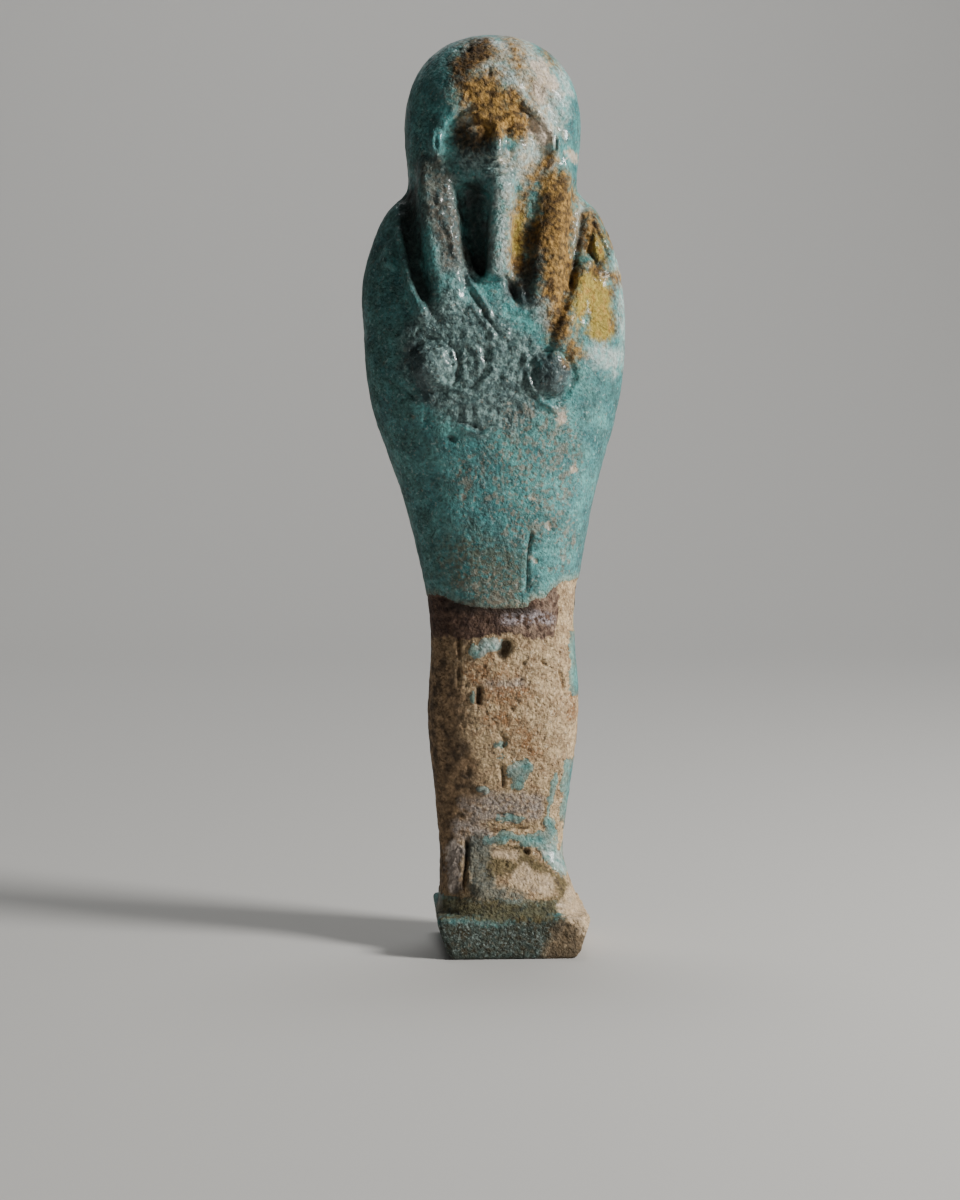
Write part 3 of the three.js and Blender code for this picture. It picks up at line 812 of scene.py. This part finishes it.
def surface_grain(corners, fields):
    on_glaze = ease(fields["glaze"], -0.12, 0.12)
    bare = 1 - on_glaze
    deposit = ease(np.maximum(fields["ochre"], fields["dark_ochre"]), -0.2, 0.5)
    chest = ease(fields["slate"], -1, 1.5)
    face = ease(patch(corners, FACE_STROKE), 0, 1.2)
    crown = ease(patch(corners, CROWN_STROKE), -0.6, 0.6)
    below_band = ease(fields["band"], 0.3, -0.2) * bare * ease(corners[:, 2], 30, 40)
    height = GLAZE_THICK * (on_glaze - 1) - BAND_STEP * below_band
    height += bare * CORE_LUMPS * rough_cloud(corners, size=1.0, seed=31)
    height -= bare * LOST_GRAINS * pits(corners, spacing=1.3, radius=0.36, share=0.6, seed=41)
    height += BODY_WAVES * cloud(corners, size=2.6, seed=51)
    dimples = pits(corners, spacing=1.1, radius=0.42, share=0.5, seed=61)
    height -= on_glaze * (GLAZE_PITS + CHEST_PITS * chest) * dimples
    height += on_glaze * (GLAZE_LUMPS + CHEST_LUMPS * chest) * rough_cloud(corners, size=0.85, seed=71)
    height += deposit * DEPOSIT_LUMPS * rough_cloud(corners, size=0.9, seed=81)
    height -= crown * CROWN_PITS * pits(corners, spacing=1.3, radius=0.55, share=0.8, seed=91)
    return height * (1 - FACE_CALM * face)


relief += surface_grain(skin, skin_fields)
print("relief, mm: from", round(relief.min(), 2), "to", round(relief.max(), 2))

# %% [markdown]
# The right front corner of the base has been knocked off, and beside the ankle crack a flake is
# gone. A chip is a cut by a rough plane: what stands outside the plane is pulled back to it.

# %% Knock off the chips
# Each chip: a point on its plane, and the direction that the plane faces
CHIP_PLANES = {
    "right front corner": ((9.5, -8.0, 4.7), (0.6, -0.62, 0.5)),
    "right bottom corner": ((8.6, -8.4, 0.6), (0.7, -0.35, -0.62)),
    "flake beside the ankle crack": ((-7.5, -4.5, 11.5), (-0.4, -0.9, 0.1)),
}
CHIP_REACH = (4.5, 6)
CHIP_ROUGHNESS = 0.25
# The sole stays flat, and the relief grows from nothing just above it
SOLE_EDGE = (0.05, 0.5)


def knock_off(corners, point, direction, wobble):
    normal = np.array(direction) / np.linalg.norm(direction)
    proud = (corners - np.array(point)) @ normal + wobble
    near = 1 - ease(np.linalg.norm(corners - np.array(point), axis=1), *CHIP_REACH)
    return corners - (np.clip(proud, 0, None) * near)[:, None] * normal


allowed = ease(skin[:, 2], *SOLE_EDGE)
skin = skin + read_normals(figure.data) * (relief * allowed)[:, None]
for point, direction in CHIP_PLANES.values():
    skin = knock_off(skin, point, direction, CHIP_ROUGHNESS * rough_cloud(skin, size=2.2, seed=101))
skin[:, 2] = np.clip(skin[:, 2], 0, None)
write_corners(figure.data, skin)
print("chips:", len(CHIP_PLANES))

# %% [markdown]
# Fine squares are only needed where something is carved. Decimation joins them where the skin is
# flat, so that the piece stays light enough to use.

# %% Thin out the skin
MOST_TRIANGLES = 194000


def triangle_count(mesh):
    return sum(len(polygon.vertices) - 2 for polygon in mesh.polygons)


thinning = figure.modifiers.new("thin_out", "DECIMATE")
thinning.ratio = MOST_TRIANGLES / triangle_count(figure.data)
apply_modifiers(figure)
for polygon in figure.data.polygons:
    polygon.use_smooth = True
print("triangles:", triangle_count(figure.data))

# %% [markdown]
# The fields are worked out once more on the thinned skin and stored on its corners by name. A
# material reads them with Attribute nodes, and they need no picture and no unwrapping.

# %% Store the fields on the skin
skin = read_corners(figure.data)
stored = finish_fields(skin)
no_wobble = np.zeros(len(skin))
# The depth of the grooves, cracks and holes, where soil and painted shade darken the colour
stored["hollow"] = -sum(carve(skin, no_wobble, marks) for marks in (GROOVES, CRACKS, HOLES))
for name, values in stored.items():
    layer = figure.data.attributes.new(name, "FLOAT", "POINT")
    layer.data.foreach_set("value", values.astype(np.float32))
print("stored fields:", len(stored))

# %% [markdown]
# Several effects come back in many places of the material, so each is a node group with named inputs
# and one output. The helpers come first: they make groups and nodes, set noise to a size in
# millimetres and mix two colours.

# %% Helpers for node groups
MM_SCALE = (1 / MM,) * 3
FLOAT = "NodeSocketFloat"
COLOUR = "NodeSocketColor"
# The colour sockets of a Mix node
MIX_SHARE = 0
MIX_FIRST = 6
MIX_SECOND = 7
MIX_RESULT = 2


def start_group(name, inputs, output):
    tree = bpy.data.node_groups.new(name, "ShaderNodeTree")
    for label, (kind, default) in inputs.items():
        socket = tree.interface.new_socket(label, in_out="INPUT", socket_type=kind)
        socket.default_value = default
    tree.interface.new_socket(output[0], in_out="OUTPUT", socket_type=output[1])
    return tree, tree.nodes.new("NodeGroupInput"), tree.nodes.new("NodeGroupOutput")


def feed(tree, socket, value):
    """Links the value if it is another node's socket, and else sets it."""
    if isinstance(value, bpy.types.NodeSocket):
        tree.links.new(value, socket)
    else:
        socket.default_value = value


def add_node(tree, kind, inputs=None, **settings):
    node = tree.nodes.new(kind)
    for setting, value in settings.items():
        setattr(node, setting, value)
    for label, value in (inputs or {}).items():
        feed(tree, node.inputs[label], value)
    return node


def math_node(tree, operation, first, second=0.0, clamp=False):
    settings = {"operation": operation, "use_clamp": clamp}
    return add_node(tree, "ShaderNodeMath", {0: first, 1: second}, **settings).outputs[0]


def vector_node(tree, operation, first, second):
    return add_node(tree, "ShaderNodeVectorMath", {0: first, 1: second}, operation=operation).outputs[0]


def noise(tree, size, detail=3.0, shift=0.0):
    """Noise whose lumps are about size mm across. The size and the shift may be sockets."""
    if not isinstance(shift, bpy.types.NodeSocket):
        shift = (shift,) * 3
    coordinates = add_node(tree, "ShaderNodeTexCoord").outputs["Object"]
    places = vector_node(tree, "ADD", vector_node(tree, "MULTIPLY", coordinates, MM_SCALE), shift)
    inputs = {"Vector": places, "Scale": math_node(tree, "DIVIDE", 1.0, size), "Detail": detail}
    return add_node(tree, "ShaderNodeTexNoise", inputs).outputs["Fac"]


def blend_colours(tree, share, first, second):
    inputs = {MIX_SHARE: share, MIX_FIRST: first, MIX_SECOND: second}
    return add_node(tree, "ShaderNodeMix", inputs, data_type="RGBA").outputs[MIX_RESULT]


# %% [markdown]
# The edge of a stain is never a smooth line. This group pushes a field about with noise before it
# cuts it, so that the outline frays, and it blurs the cut a little.

# %% Group: ragged edge
def make_ragged_edge():
    inputs = {
        "Field": (FLOAT, 0.0),
        "Grain": (FLOAT, 0.6),
        "Raggedness": (FLOAT, 0.6),
        "Softness": (FLOAT, 0.15),
    }
    tree, start, end = start_group("ragged_edge", inputs, ("Mask", FLOAT))
    grain = math_node(tree, "SUBTRACT", noise(tree, start.outputs["Grain"]), 0.5)
    push = math_node(tree, "MULTIPLY", grain, start.outputs["Raggedness"])
    moved = math_node(tree, "ADD", start.outputs["Field"], push)
    inner = start.outputs["Softness"]
    outer = math_node(tree, "MULTIPLY", inner, -1.0)
    limits = {"Value": moved, "From Min": outer, "From Max": inner}
    edge = add_node(tree, "ShaderNodeMapRange", limits, interpolation_type="SMOOTHSTEP")
    tree.links.new(edge.outputs["Result"], end.inputs["Mask"])
    return tree


ragged_edge = make_ragged_edge()
print("group inputs:", len(ragged_edge.interface.items_tree) - 1)

# %% [markdown]
# No finish has one flat colour. This group mixes two colours by noise: the contrast says how sharply
# they part, and a higher balance gives more of the first.

# %% Group: mottle of two colours
def make_mottle():
    inputs = {
        "First": (COLOUR, (1, 1, 1, 1)),
        "Second": (COLOUR, (0, 0, 0, 1)),
        "Size": (FLOAT, 2.0),
        "Contrast": (FLOAT, 3.0),
        "Balance": (FLOAT, 0.5),
    }
    tree, start, end = start_group("mottle", inputs, ("Color", COLOUR))
    lumps = noise(tree, start.outputs["Size"], detail=4.0)
    centred = math_node(tree, "SUBTRACT", lumps, start.outputs["Balance"])
    stretched = math_node(tree, "MULTIPLY", centred, start.outputs["Contrast"])
    share = math_node(tree, "ADD", stretched, 0.5, clamp=True)
    mixed = blend_colours(tree, share, start.outputs["First"], start.outputs["Second"])
    tree.links.new(mixed, end.inputs["Color"])
    return tree


mottle = make_mottle()
print("group inputs:", len(mottle.interface.items_tree) - 1)

# %% [markdown]
# Grains and bubbles show as specks. Only the highest parts of a noise are kept: the amount lowers
# the cut, and the sharpness gives the specks a crisp or a soft rim.

# %% Group: specks
def make_specks():
    inputs = {
        "Size": (FLOAT, 0.5),
        "Amount": (FLOAT, 0.4),
        "Sharpness": (FLOAT, 12.0),
        "Shift": (FLOAT, 0.0),
    }
    tree, start, end = start_group("specks", inputs, ("Mask", FLOAT))
    grain = noise(tree, start.outputs["Size"], detail=2.0, shift=start.outputs["Shift"])
    threshold = math_node(tree, "SUBTRACT", 1.0, start.outputs["Amount"])
    above = math_node(tree, "SUBTRACT", grain, threshold)
    mask = math_node(tree, "MULTIPLY", above, start.outputs["Sharpness"], clamp=True)
    tree.links.new(mask, end.inputs["Mask"])
    return tree


specks = make_specks()
print("group inputs:", len(specks.interface.items_tree) - 1)

# %% [markdown]
# Every finish lies on ground quartz and shows its grain. This group makes a colour lighter and
# darker from grain to grain, and never quite black.

# %% Group: grit
DARKEST_GRAIN = 0.2


def make_grit():
    inputs = {"Color": (COLOUR, (1, 1, 1, 1)), "Size": (FLOAT, 0.5), "Strength": (FLOAT, 1.5)}
    tree, start, end = start_group("grit", inputs, ("Color", COLOUR))
    grain = noise(tree, start.outputs["Size"], detail=3.0, shift=7.0)
    centred = math_node(tree, "SUBTRACT", grain, 0.5)
    brighter = math_node(tree, "ADD", math_node(tree, "MULTIPLY", centred, start.outputs["Strength"]), 1.0)
    value = math_node(tree, "MAXIMUM", brighter, DARKEST_GRAIN)
    gritty = add_node(tree, "ShaderNodeHueSaturation", {"Color": start.outputs["Color"], "Value": value})
    tree.links.new(gritty.outputs["Color"], end.inputs["Color"])
    return tree


grit = make_grit()
print("node groups:", ", ".join(group.name for group in (ragged_edge, mottle, specks, grit)))

# %% [markdown]
# One material holds all the finishes, because on the real figure they run into each other. Each
# stored field becomes a mask first, frayed as that stain is on the figure.

# %% The faience material and its masks
faience = bpy.data.materials.new("weathered_faience")
faience.use_nodes = True
nodes = faience.node_tree
shader = nodes.nodes["Principled BSDF"]
# Each edge: size of its grain, how far that pushes it, and half the width of its blur, in mm
EDGES = {
    "glaze": (0.4, 0.9, 0.07),
    "shadow_brown": (1.5, 3.0, 2.2),
    "ash": (0.8, 1.8, 0.7),
    "rust": (0.6, 3.2, 0.9),
    "deep": (1.4, 3.0, 1.8),
    "grime_and_shade": (1.4, 3.0, 1.8),
    "olive": (0.9, 3.0, 2.4),
    "slate": (0.8, 3.0, 1.4),
    "haze": (0.8, 2.5, 1.2),
    "cream": (0.6, 2.6, 1.2),
    "dark_slate_and_shade": (0.6, 1.8, 0.7),
    "film": (0.7, 2.6, 1.2),
    "base_edge_highlight": (0.6, 2.0, 0.8),
    "base_grey": (0.8, 2.0, 0.6),
    "worn": (0.8, 3.5, 1.6),
    "band": (0.7, 1.2, 0.25),
    "band_fade": (0.8, 2.0, 1.2),
    "crust": (0.5, 2.6, 0.5),
    "foot_grey": (0.6, 1.8, 0.8),
    "flake": (0.5, 1.6, 0.4),
    "base_brown": (0.6, 1.8, 0.5),
    "foot_olive": (0.5, 1.8, 0.5),
    "buff": (0.5, 1.2, 0.3),
    "ochre": (0.6, 2.6, 1.3),
    "straw": (0.6, 1.6, 0.7),
    "dark_ochre": (0.5, 2.4, 1.1),
    "bare": (0.6, 1.8, 0.4),
    "soil_and_shade": (0.8, 1.8, 0.9),
}


def use_group(group, output, inputs):
    node = add_node(nodes, "ShaderNodeGroup", node_tree=group)
    for label, value in inputs.items():
        feed(nodes, node.inputs[label], value)
    return node.outputs[output]


def field(name):
    return add_node(nodes, "ShaderNodeAttribute", attribute_name=name).outputs["Fac"]


masks = {}
for name, (grain, raggedness, softness) in EDGES.items():
    fray = {"Field": field(name), "Grain": grain, "Raggedness": raggedness, "Softness": softness}
    masks[name] = use_group(ragged_edge, "Mask", fray)
print("masks:", len(masks))

# %% [markdown]
# A finish is laid over what is there already, as thickly as its share says, and mottled in two
# colours. Most finishes are alike in this, so they are tables, laid one after the other by a loop.

# %% Laying finishes
def paint(red, green, blue):
    """A colour from its 0 to 255 values, as a shader wants it."""
    def linear(value):
        share = value / 255
        return share / 12.92 if share <= 0.04045 else ((share + 0.055) / 1.055) ** 2.4
    return (linear(red), linear(green), linear(blue), 1)


def mottled(first, second, size, contrast, balance):
    look = {"First": first, "Second": second, "Size": size, "Contrast": contrast, "Balance": balance}
    return use_group(mottle, "Color", look)


def speck_mask(size, amount, sharpness, shift):
    look = {"Size": size, "Amount": amount, "Sharpness": sharpness, "Shift": shift}
    return use_group(specks, "Mask", look)


def part_of(share, mask):
    return math_node(nodes, "MULTIPLY", mask, share)


def without(mask, hidden):
    return math_node(nodes, "MULTIPLY", mask, math_node(nodes, "SUBTRACT", 1.0, hidden))


def from_to(mask, at_zero, at_one):
    """Turns a mask of 0 to 1 into a value between the two given ones."""
    limits = {"Value": mask, "To Min": at_zero, "To Max": at_one}
    return add_node(nodes, "ShaderNodeMapRange", limits).outputs[0]


def lay_over(colour, finish, mask, share=1.0):
    return blend_colours(nodes, part_of(share, mask), colour, finish)


def lay_finishes(colour, finishes):
    for name, share, *look in finishes:
        colour = lay_over(colour, mottled(*look), masks[name], share)
    return colour


def lay_specks(colour, scatterings):
    for share, finish, *look in scatterings:
        colour = lay_over(colour, finish, speck_mask(*look), share)
    return colour


# %% [markdown]
# The core is ground quartz with sand in it: cream where it is clean, brown where soil stained it, and
# speckled at the size of the grains.

# %% Sandy core
CORE_CREAM = paint(200, 174, 136)
CORE_BROWN = paint(154, 127, 97)
CORE_DARK = paint(84, 70, 55)
CORE_PALE = paint(226, 206, 174)
RUST = paint(142, 98, 60)
ASH = paint(160, 148, 138)
# Each finish: mask, share, first and second colour, and the mottle's size, contrast and balance
CORE_FINISHES = [
    # Brown stain and painted shade on the left side
    ("shadow_brown", 1.0, CORE_BROWN, CORE_DARK, 1.3, 4.0, 0.5),
    ("ash", 1.0, ASH, CORE_BROWN, 0.8, 3.5, 0.6),
    ("rust", 0.8, RUST, CORE_BROWN, 0.7, 5.0, 0.52),
]

core = mottled(CORE_CREAM, CORE_BROWN, size=1.5, contrast=3.0, balance=0.54)
core = lay_finishes(core, CORE_FINISHES)
dark_grains = speck_mask(size=0.42, amount=0.42, sharpness=11, shift=3)
core = lay_over(core, CORE_DARK, dark_grains, share=0.65)
pale_grains = speck_mask(size=0.4, amount=0.42, sharpness=10, shift=31)
core = lay_over(core, CORE_PALE, without(pale_grains, masks["shadow_brown"]), share=0.6)

# %% [markdown]
# The glaze is turquoise from copper. Where it is thin it looks deeper, and where it has weathered it
# has turned pale, cream, slate grey or olive.

# %% Turquoise glaze
TURQUOISE = paint(98, 166, 162)
DEEP_TURQUOISE = paint(58, 122, 124)
HAZE = paint(170, 188, 183)
SLATE = paint(70, 86, 86)
SLATE_PALE = paint(126, 150, 146)
# Dark slate, also used as painted shade
SLATE_DARK_AND_SHADE = paint(50, 64, 67)
OLIVE = paint(92, 96, 80)
FILM = paint(98, 90, 78)
CREAM = paint(184, 172, 146)
GROUND_BROWN = paint(60, 56, 42)
GLAZE_FINISHES = [
    ("deep", 0.7, DEEP_TURQUOISE, SLATE, 1.2, 3.0, 0.6),
    # Grime behind and on the base, and painted shade on the left side
    ("grime_and_shade", 0.62, SLATE, GROUND_BROWN, 1.4, 3.0, 0.5),
    ("olive", 0.9, OLIVE, DEEP_TURQUOISE, 0.6, 4.0, 0.56),
    ("slate", 0.88, SLATE, SLATE_PALE, 0.6, 6.0, 0.53),
    ("haze", 1.0, HAZE, TURQUOISE, 0.9, 4.0, 0.6),
    ("cream", 0.85, CREAM, HAZE, 0.7, 4.5, 0.52),
    ("dark_slate_and_shade", 0.85, SLATE_DARK_AND_SHADE, SLATE, 0.8, 5.0, 0.56),
    ("film", 0.8, FILM, SLATE, 0.7, 5.0, 0.54),
]

glaze = mottled(TURQUOISE, DEEP_TURQUOISE, size=2.4, contrast=3.2, balance=0.52)
glaze = lay_finishes(glaze, GLAZE_FINISHES)

# %% [markdown]
# The front of the base is so dirty that little turquoise is left. Its upper edge is painted lighter
# and more turquoise, a painted highlight. On the worn belly small tan grains come through the glaze,
# and pale and dark specks lie all over it.

# %% Base front and specks in the glaze
BASE_GREY = paint(70, 83, 77)
TAN = paint(136, 128, 112)
FEWEST_TAN = 0.34
MOST_TAN = 0.49

base_front = mottled(BASE_GREY, GROUND_BROWN, size=0.8, contrast=3.2, balance=0.5)
base_front = lay_over(base_front, HAZE, speck_mask(size=0.35, amount=0.44, sharpness=8, shift=5), share=0.3)
# The upper edge is painted lighter, as a highlight
base_front = lay_finishes(base_front, [("base_edge_highlight", 0.55, SLATE_PALE, TURQUOISE, 0.5, 5.0, 0.5)])
glaze = lay_over(glaze, base_front, masks["base_grey"])
tan_amount = from_to(masks["worn"], FEWEST_TAN, MOST_TAN)
# Each scattering: share, colour, and the specks' size, amount, sharpness and shift
glaze = lay_specks(glaze, [
    (0.65, TAN, 0.55, tan_amount, 9, 11),
    (0.6, TAN, 1.3, tan_amount, 7, 51),
    (0.4, HAZE, 0.45, 0.38, 12, 17),
    (0.45, SLATE, 0.5, 0.38, 14, 23),
])

# %% [markdown]
# The glaze goes over the core now, thinner near its edge, so that the core tints it there. Below the
# edge comes the purple-brown band, faded on the right and with a pale crust in the middle.

# %% Glaze and band over the core
BAND = paint(98, 77, 65)
BAND_DARK = paint(64, 48, 42)
BAND_PALE = paint(164, 140, 120)
CRUST = paint(176, 166, 168)
FULL_THICKNESS_AT = 1.2
THIN_GLAZE = 0.62

thickness_range = {"Value": field("glaze"), "From Max": FULL_THICKNESS_AT, "To Min": THIN_GLAZE}
thickness = add_node(nodes, "ShaderNodeMapRange", thickness_range).outputs[0]
colour = blend_colours(nodes, math_node(nodes, "MULTIPLY", masks["glaze"], thickness), core, glaze)
band = lay_finishes(mottled(BAND, BAND_DARK, size=0.9, contrast=4.5, balance=0.52), [
    ("band_fade", 0.8, BAND_PALE, BAND, 0.8, 4.0, 0.5),
    ("crust", 1.0, CRUST, BAND, 0.5, 6.0, 0.5),
])
colour = lay_over(colour, band, without(masks["band"], masks["glaze"]))

# %% [markdown]
# On top of glaze and core alike lie the stains of the foot and the base, the crusts of the head and
# shoulder and the chips down to clean core. Last, dark soil and painted shade fill the hollows.

# %% Deposits, chips and soil
FOOT_GREY = paint(106, 110, 100)
FOOT_OLIVE = paint(92, 82, 52)
# Pale core, with a painted highlight on the flake scar
FLAKE_PALE_AND_LIT = paint(212, 198, 186)
BASE_TAUPE = paint(76, 67, 54)
BASE_TAN = paint(106, 91, 71)
BUFF = paint(190, 170, 146)
OCHRE = paint(170, 130, 64)
OCHRE_DARK = paint(92, 66, 32)
UMBER = paint(42, 33, 23)
STRAW = paint(160, 141, 68)
BARE = paint(204, 188, 170)
SOIL_AND_SHADE = paint(52, 48, 42)
SOIL_AND_SHADE_DARK = paint(30, 27, 24)
TOP_FINISHES = [
    ("foot_grey", 0.85, FOOT_GREY, SLATE, 0.7, 4.0, 0.5),
    ("flake", 0.85, FLAKE_PALE_AND_LIT, ASH, 0.7, 5.0, 0.5),
    ("base_brown", 0.9, BASE_TAN, BASE_TAUPE, 0.7, 4.0, 0.5),
    ("foot_olive", 0.85, FOOT_OLIVE, UMBER, 0.7, 5.0, 0.6),
    ("buff", 0.9, BUFF, CORE_CREAM, 0.9, 2.0, 0.5),
    ("ochre", 0.95, OCHRE, OCHRE_DARK, 0.8, 5.0, 0.5),
    ("straw", 1.0, STRAW, OCHRE, 1.0, 4.0, 0.6),
    ("dark_ochre", 0.85, UMBER, OCHRE_DARK, 0.6, 5.0, 0.56),
    ("bare", 0.85, BARE, CORE_CREAM, 0.7, 4.0, 0.6),
]
# Soil and painted shade begin in a hollow of the first depth and are thickest at the second, in mm
HOLLOW_DEPTHS = (0.12, 0.6)


def highest(*given):
    result = given[0]
    for mask in given[1:]:
        result = math_node(nodes, "MAXIMUM", result, mask)
    return result


colour = lay_finishes(colour, TOP_FINISHES)
hollow_range = {"Value": field("hollow"), "From Min": HOLLOW_DEPTHS[0], "From Max": HOLLOW_DEPTHS[1]}
hollow = add_node(nodes, "ShaderNodeMapRange", hollow_range).outputs[0]
soil_and_shade_in_hollows = highest(part_of(0.75, hollow), part_of(0.8, masks["soil_and_shade"]))
colour = lay_over(colour, mottled(SOIL_AND_SHADE, SOIL_AND_SHADE_DARK, size=0.8, contrast=3.0, balance=0.5), soil_and_shade_in_hollows)
gritty = use_group(grit, "Color", {"Color": colour, "Size": 0.42, "Strength": 1.9})
nodes.links.new(gritty, shader.inputs["Base Color"])

# %% [markdown]
# Glaze is glossy under its pits, the core and the crusts are dull. The gloss comes as a thin coat
# over a rougher body, as a real glaze does.

# %% Gloss
DULL_ROUGHNESS = 0.86
GLOSSY_ROUGHNESS = 0.44
UNEVENNESS = 0.5
COAT_SHARE = 0.5

matt = highest(
    masks["ochre"],
    masks["dark_ochre"],
    masks["straw"],
    masks["foot_grey"],
    part_of(0.7, masks["haze"]),
    part_of(0.8, masks["base_grey"]),
    part_of(0.9, masks["grime_and_shade"]),
)
glossy = without(masks["glaze"], matt)
uneven = part_of(UNEVENNESS, math_node(nodes, "SUBTRACT", noise(nodes, size=0.8), 0.5))
roughness = math_node(nodes, "ADD", from_to(glossy, DULL_ROUGHNESS, GLOSSY_ROUGHNESS), uneven, clamp=True)
nodes.links.new(roughness, shader.inputs["Roughness"])
nodes.links.new(part_of(COAT_SHARE, glossy), shader.inputs["Coat Weight"])
shader.inputs["Coat Roughness"].default_value = 0.12
shader.inputs["IOR"].default_value = 1.5
shader.inputs["Specular IOR Level"].default_value = 0.28

# %% [markdown]
# The finest grain is too small for the mesh, so a bump gives it: coarse and fine noise, weaker on the
# gloss, and tiny pits. Everything larger is real relief.

# %% Fine grain
# Heights in mm, on dull places and on glossy ones
COARSE_GRAIN = (0.36, 0.2)
FINE_GRAIN = (0.2, 0.1)
PIT_DEPTH = -0.06

coarse_noise = noise(nodes, size=0.7, detail=4.0, shift=43)
coarse = math_node(nodes, "MULTIPLY", coarse_noise, from_to(glossy, *COARSE_GRAIN))
fine_noise = noise(nodes, size=0.35, detail=2.0, shift=61)
fine = math_node(nodes, "MULTIPLY", fine_noise, from_to(glossy, *FINE_GRAIN))
tiny_pits = part_of(PIT_DEPTH, speck_mask(size=0.5, amount=0.44, sharpness=10, shift=71))
height = math_node(nodes, "ADD", math_node(nodes, "ADD", coarse, fine), tiny_pits)
bump = add_node(nodes, "ShaderNodeBump", {"Height": height, "Distance": MM, "Strength": 1.0})
nodes.links.new(bump.outputs["Normal"], shader.inputs["Normal"])
figure.data.materials.clear()
figure.data.materials.append(faience)
print("material nodes:", len(nodes.nodes))

# %% [markdown]
# The studio is a pale sweep: a floor that curves up into a wall, so that no edge shows behind the
# figure.

# %% Sweep
SWEEP_HALF = 1.6
SWEEP_NEAR = -1.2
SWEEP_BEND = 0.45
SWEEP_RADIUS = 0.5
SWEEP_TALL = 1.6
BEND_STEPS = 16
SWEEP_GREY = paint(196, 195, 192)
SWEEP_ROUGHNESS = 0.9

profile = [(SWEEP_NEAR, 0.0)]
for step in range(BEND_STEPS + 1):
    turn = step / BEND_STEPS * math.pi / 2
    profile.append((SWEEP_BEND + SWEEP_RADIUS * math.sin(turn), SWEEP_RADIUS * (1 - math.cos(turn))))
profile.append((SWEEP_BEND + SWEEP_RADIUS, SWEEP_TALL))
sweep_mesh = bpy.data.meshes.new("studio_sweep")
sweep_corners = [(hand * SWEEP_HALF, deep, up) for deep, up in profile for hand in (-1, 1)]
sweep_faces = [(2 * row, 2 * row + 1, 2 * row + 3, 2 * row + 2) for row in range(len(profile) - 1)]
sweep_mesh.from_pydata(sweep_corners, [], sweep_faces)
for polygon in sweep_mesh.polygons:
    polygon.use_smooth = True
sweep = bpy.data.objects.new("studio_sweep", sweep_mesh)
bpy.context.scene.collection.objects.link(sweep)
paper = bpy.data.materials.new("pale_paper")
paper.use_nodes = True
paper_shader = paper.node_tree.nodes["Principled BSDF"]
paper_shader.inputs["Base Color"].default_value = SWEEP_GREY
paper_shader.inputs["Roughness"].default_value = SWEEP_ROUGHNESS
sweep_mesh.materials.append(paper)
print("sweep faces:", len(sweep_faces))

# %% [markdown]
# A soft key light from the right brings out the relief, a weak fill keeps the left readable, and a
# third lamp lights only the wall behind. The dim world softens what they leave black.

# %% Lights
MIDDLE = (0, 0, HEIGHT / 2 * MM)
WALL = (0, SWEEP_BEND + SWEEP_RADIUS, 0.3)
WORLD_TINT = (0.8, 0.82, 0.85, 1)
WORLD_STRENGTH = 0.045


def soft_light(name, place, aim, size, power, tint=(1, 1, 1)):
    light = bpy.data.lights.new(name, "AREA")
    light.shape = "DISK"
    light.size = size
    light.energy = power
    light.color = tint
    lamp = bpy.data.objects.new(name, light)
    bpy.context.scene.collection.objects.link(lamp)
    lamp.location = place
    lamp.rotation_euler = (Vector(aim) - Vector(place)).to_track_quat("-Z", "Y").to_euler()
    return lamp


soft_light("key", place=(0.38, -0.18, 0.25), aim=MIDDLE, size=0.12, power=3.4, tint=(1, 0.98, 0.95))
soft_light("fill", place=(-0.45, -0.5, 0.2), aim=MIDDLE, size=0.5, power=0.06)
soft_light("backdrop", place=(0, 0.3, 1.0), aim=WALL, size=0.6, power=6)

world = bpy.data.worlds.new("studio")
bpy.context.scene.world = world
world.use_nodes = True
world.node_tree.nodes["Background"].inputs["Color"].default_value = WORLD_TINT
world.node_tree.nodes["Background"].inputs["Strength"].default_value = WORLD_STRENGTH
print("lamps:", len(bpy.data.lights))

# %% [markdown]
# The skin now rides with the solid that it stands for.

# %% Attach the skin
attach(figure, "root")
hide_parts(NODE)
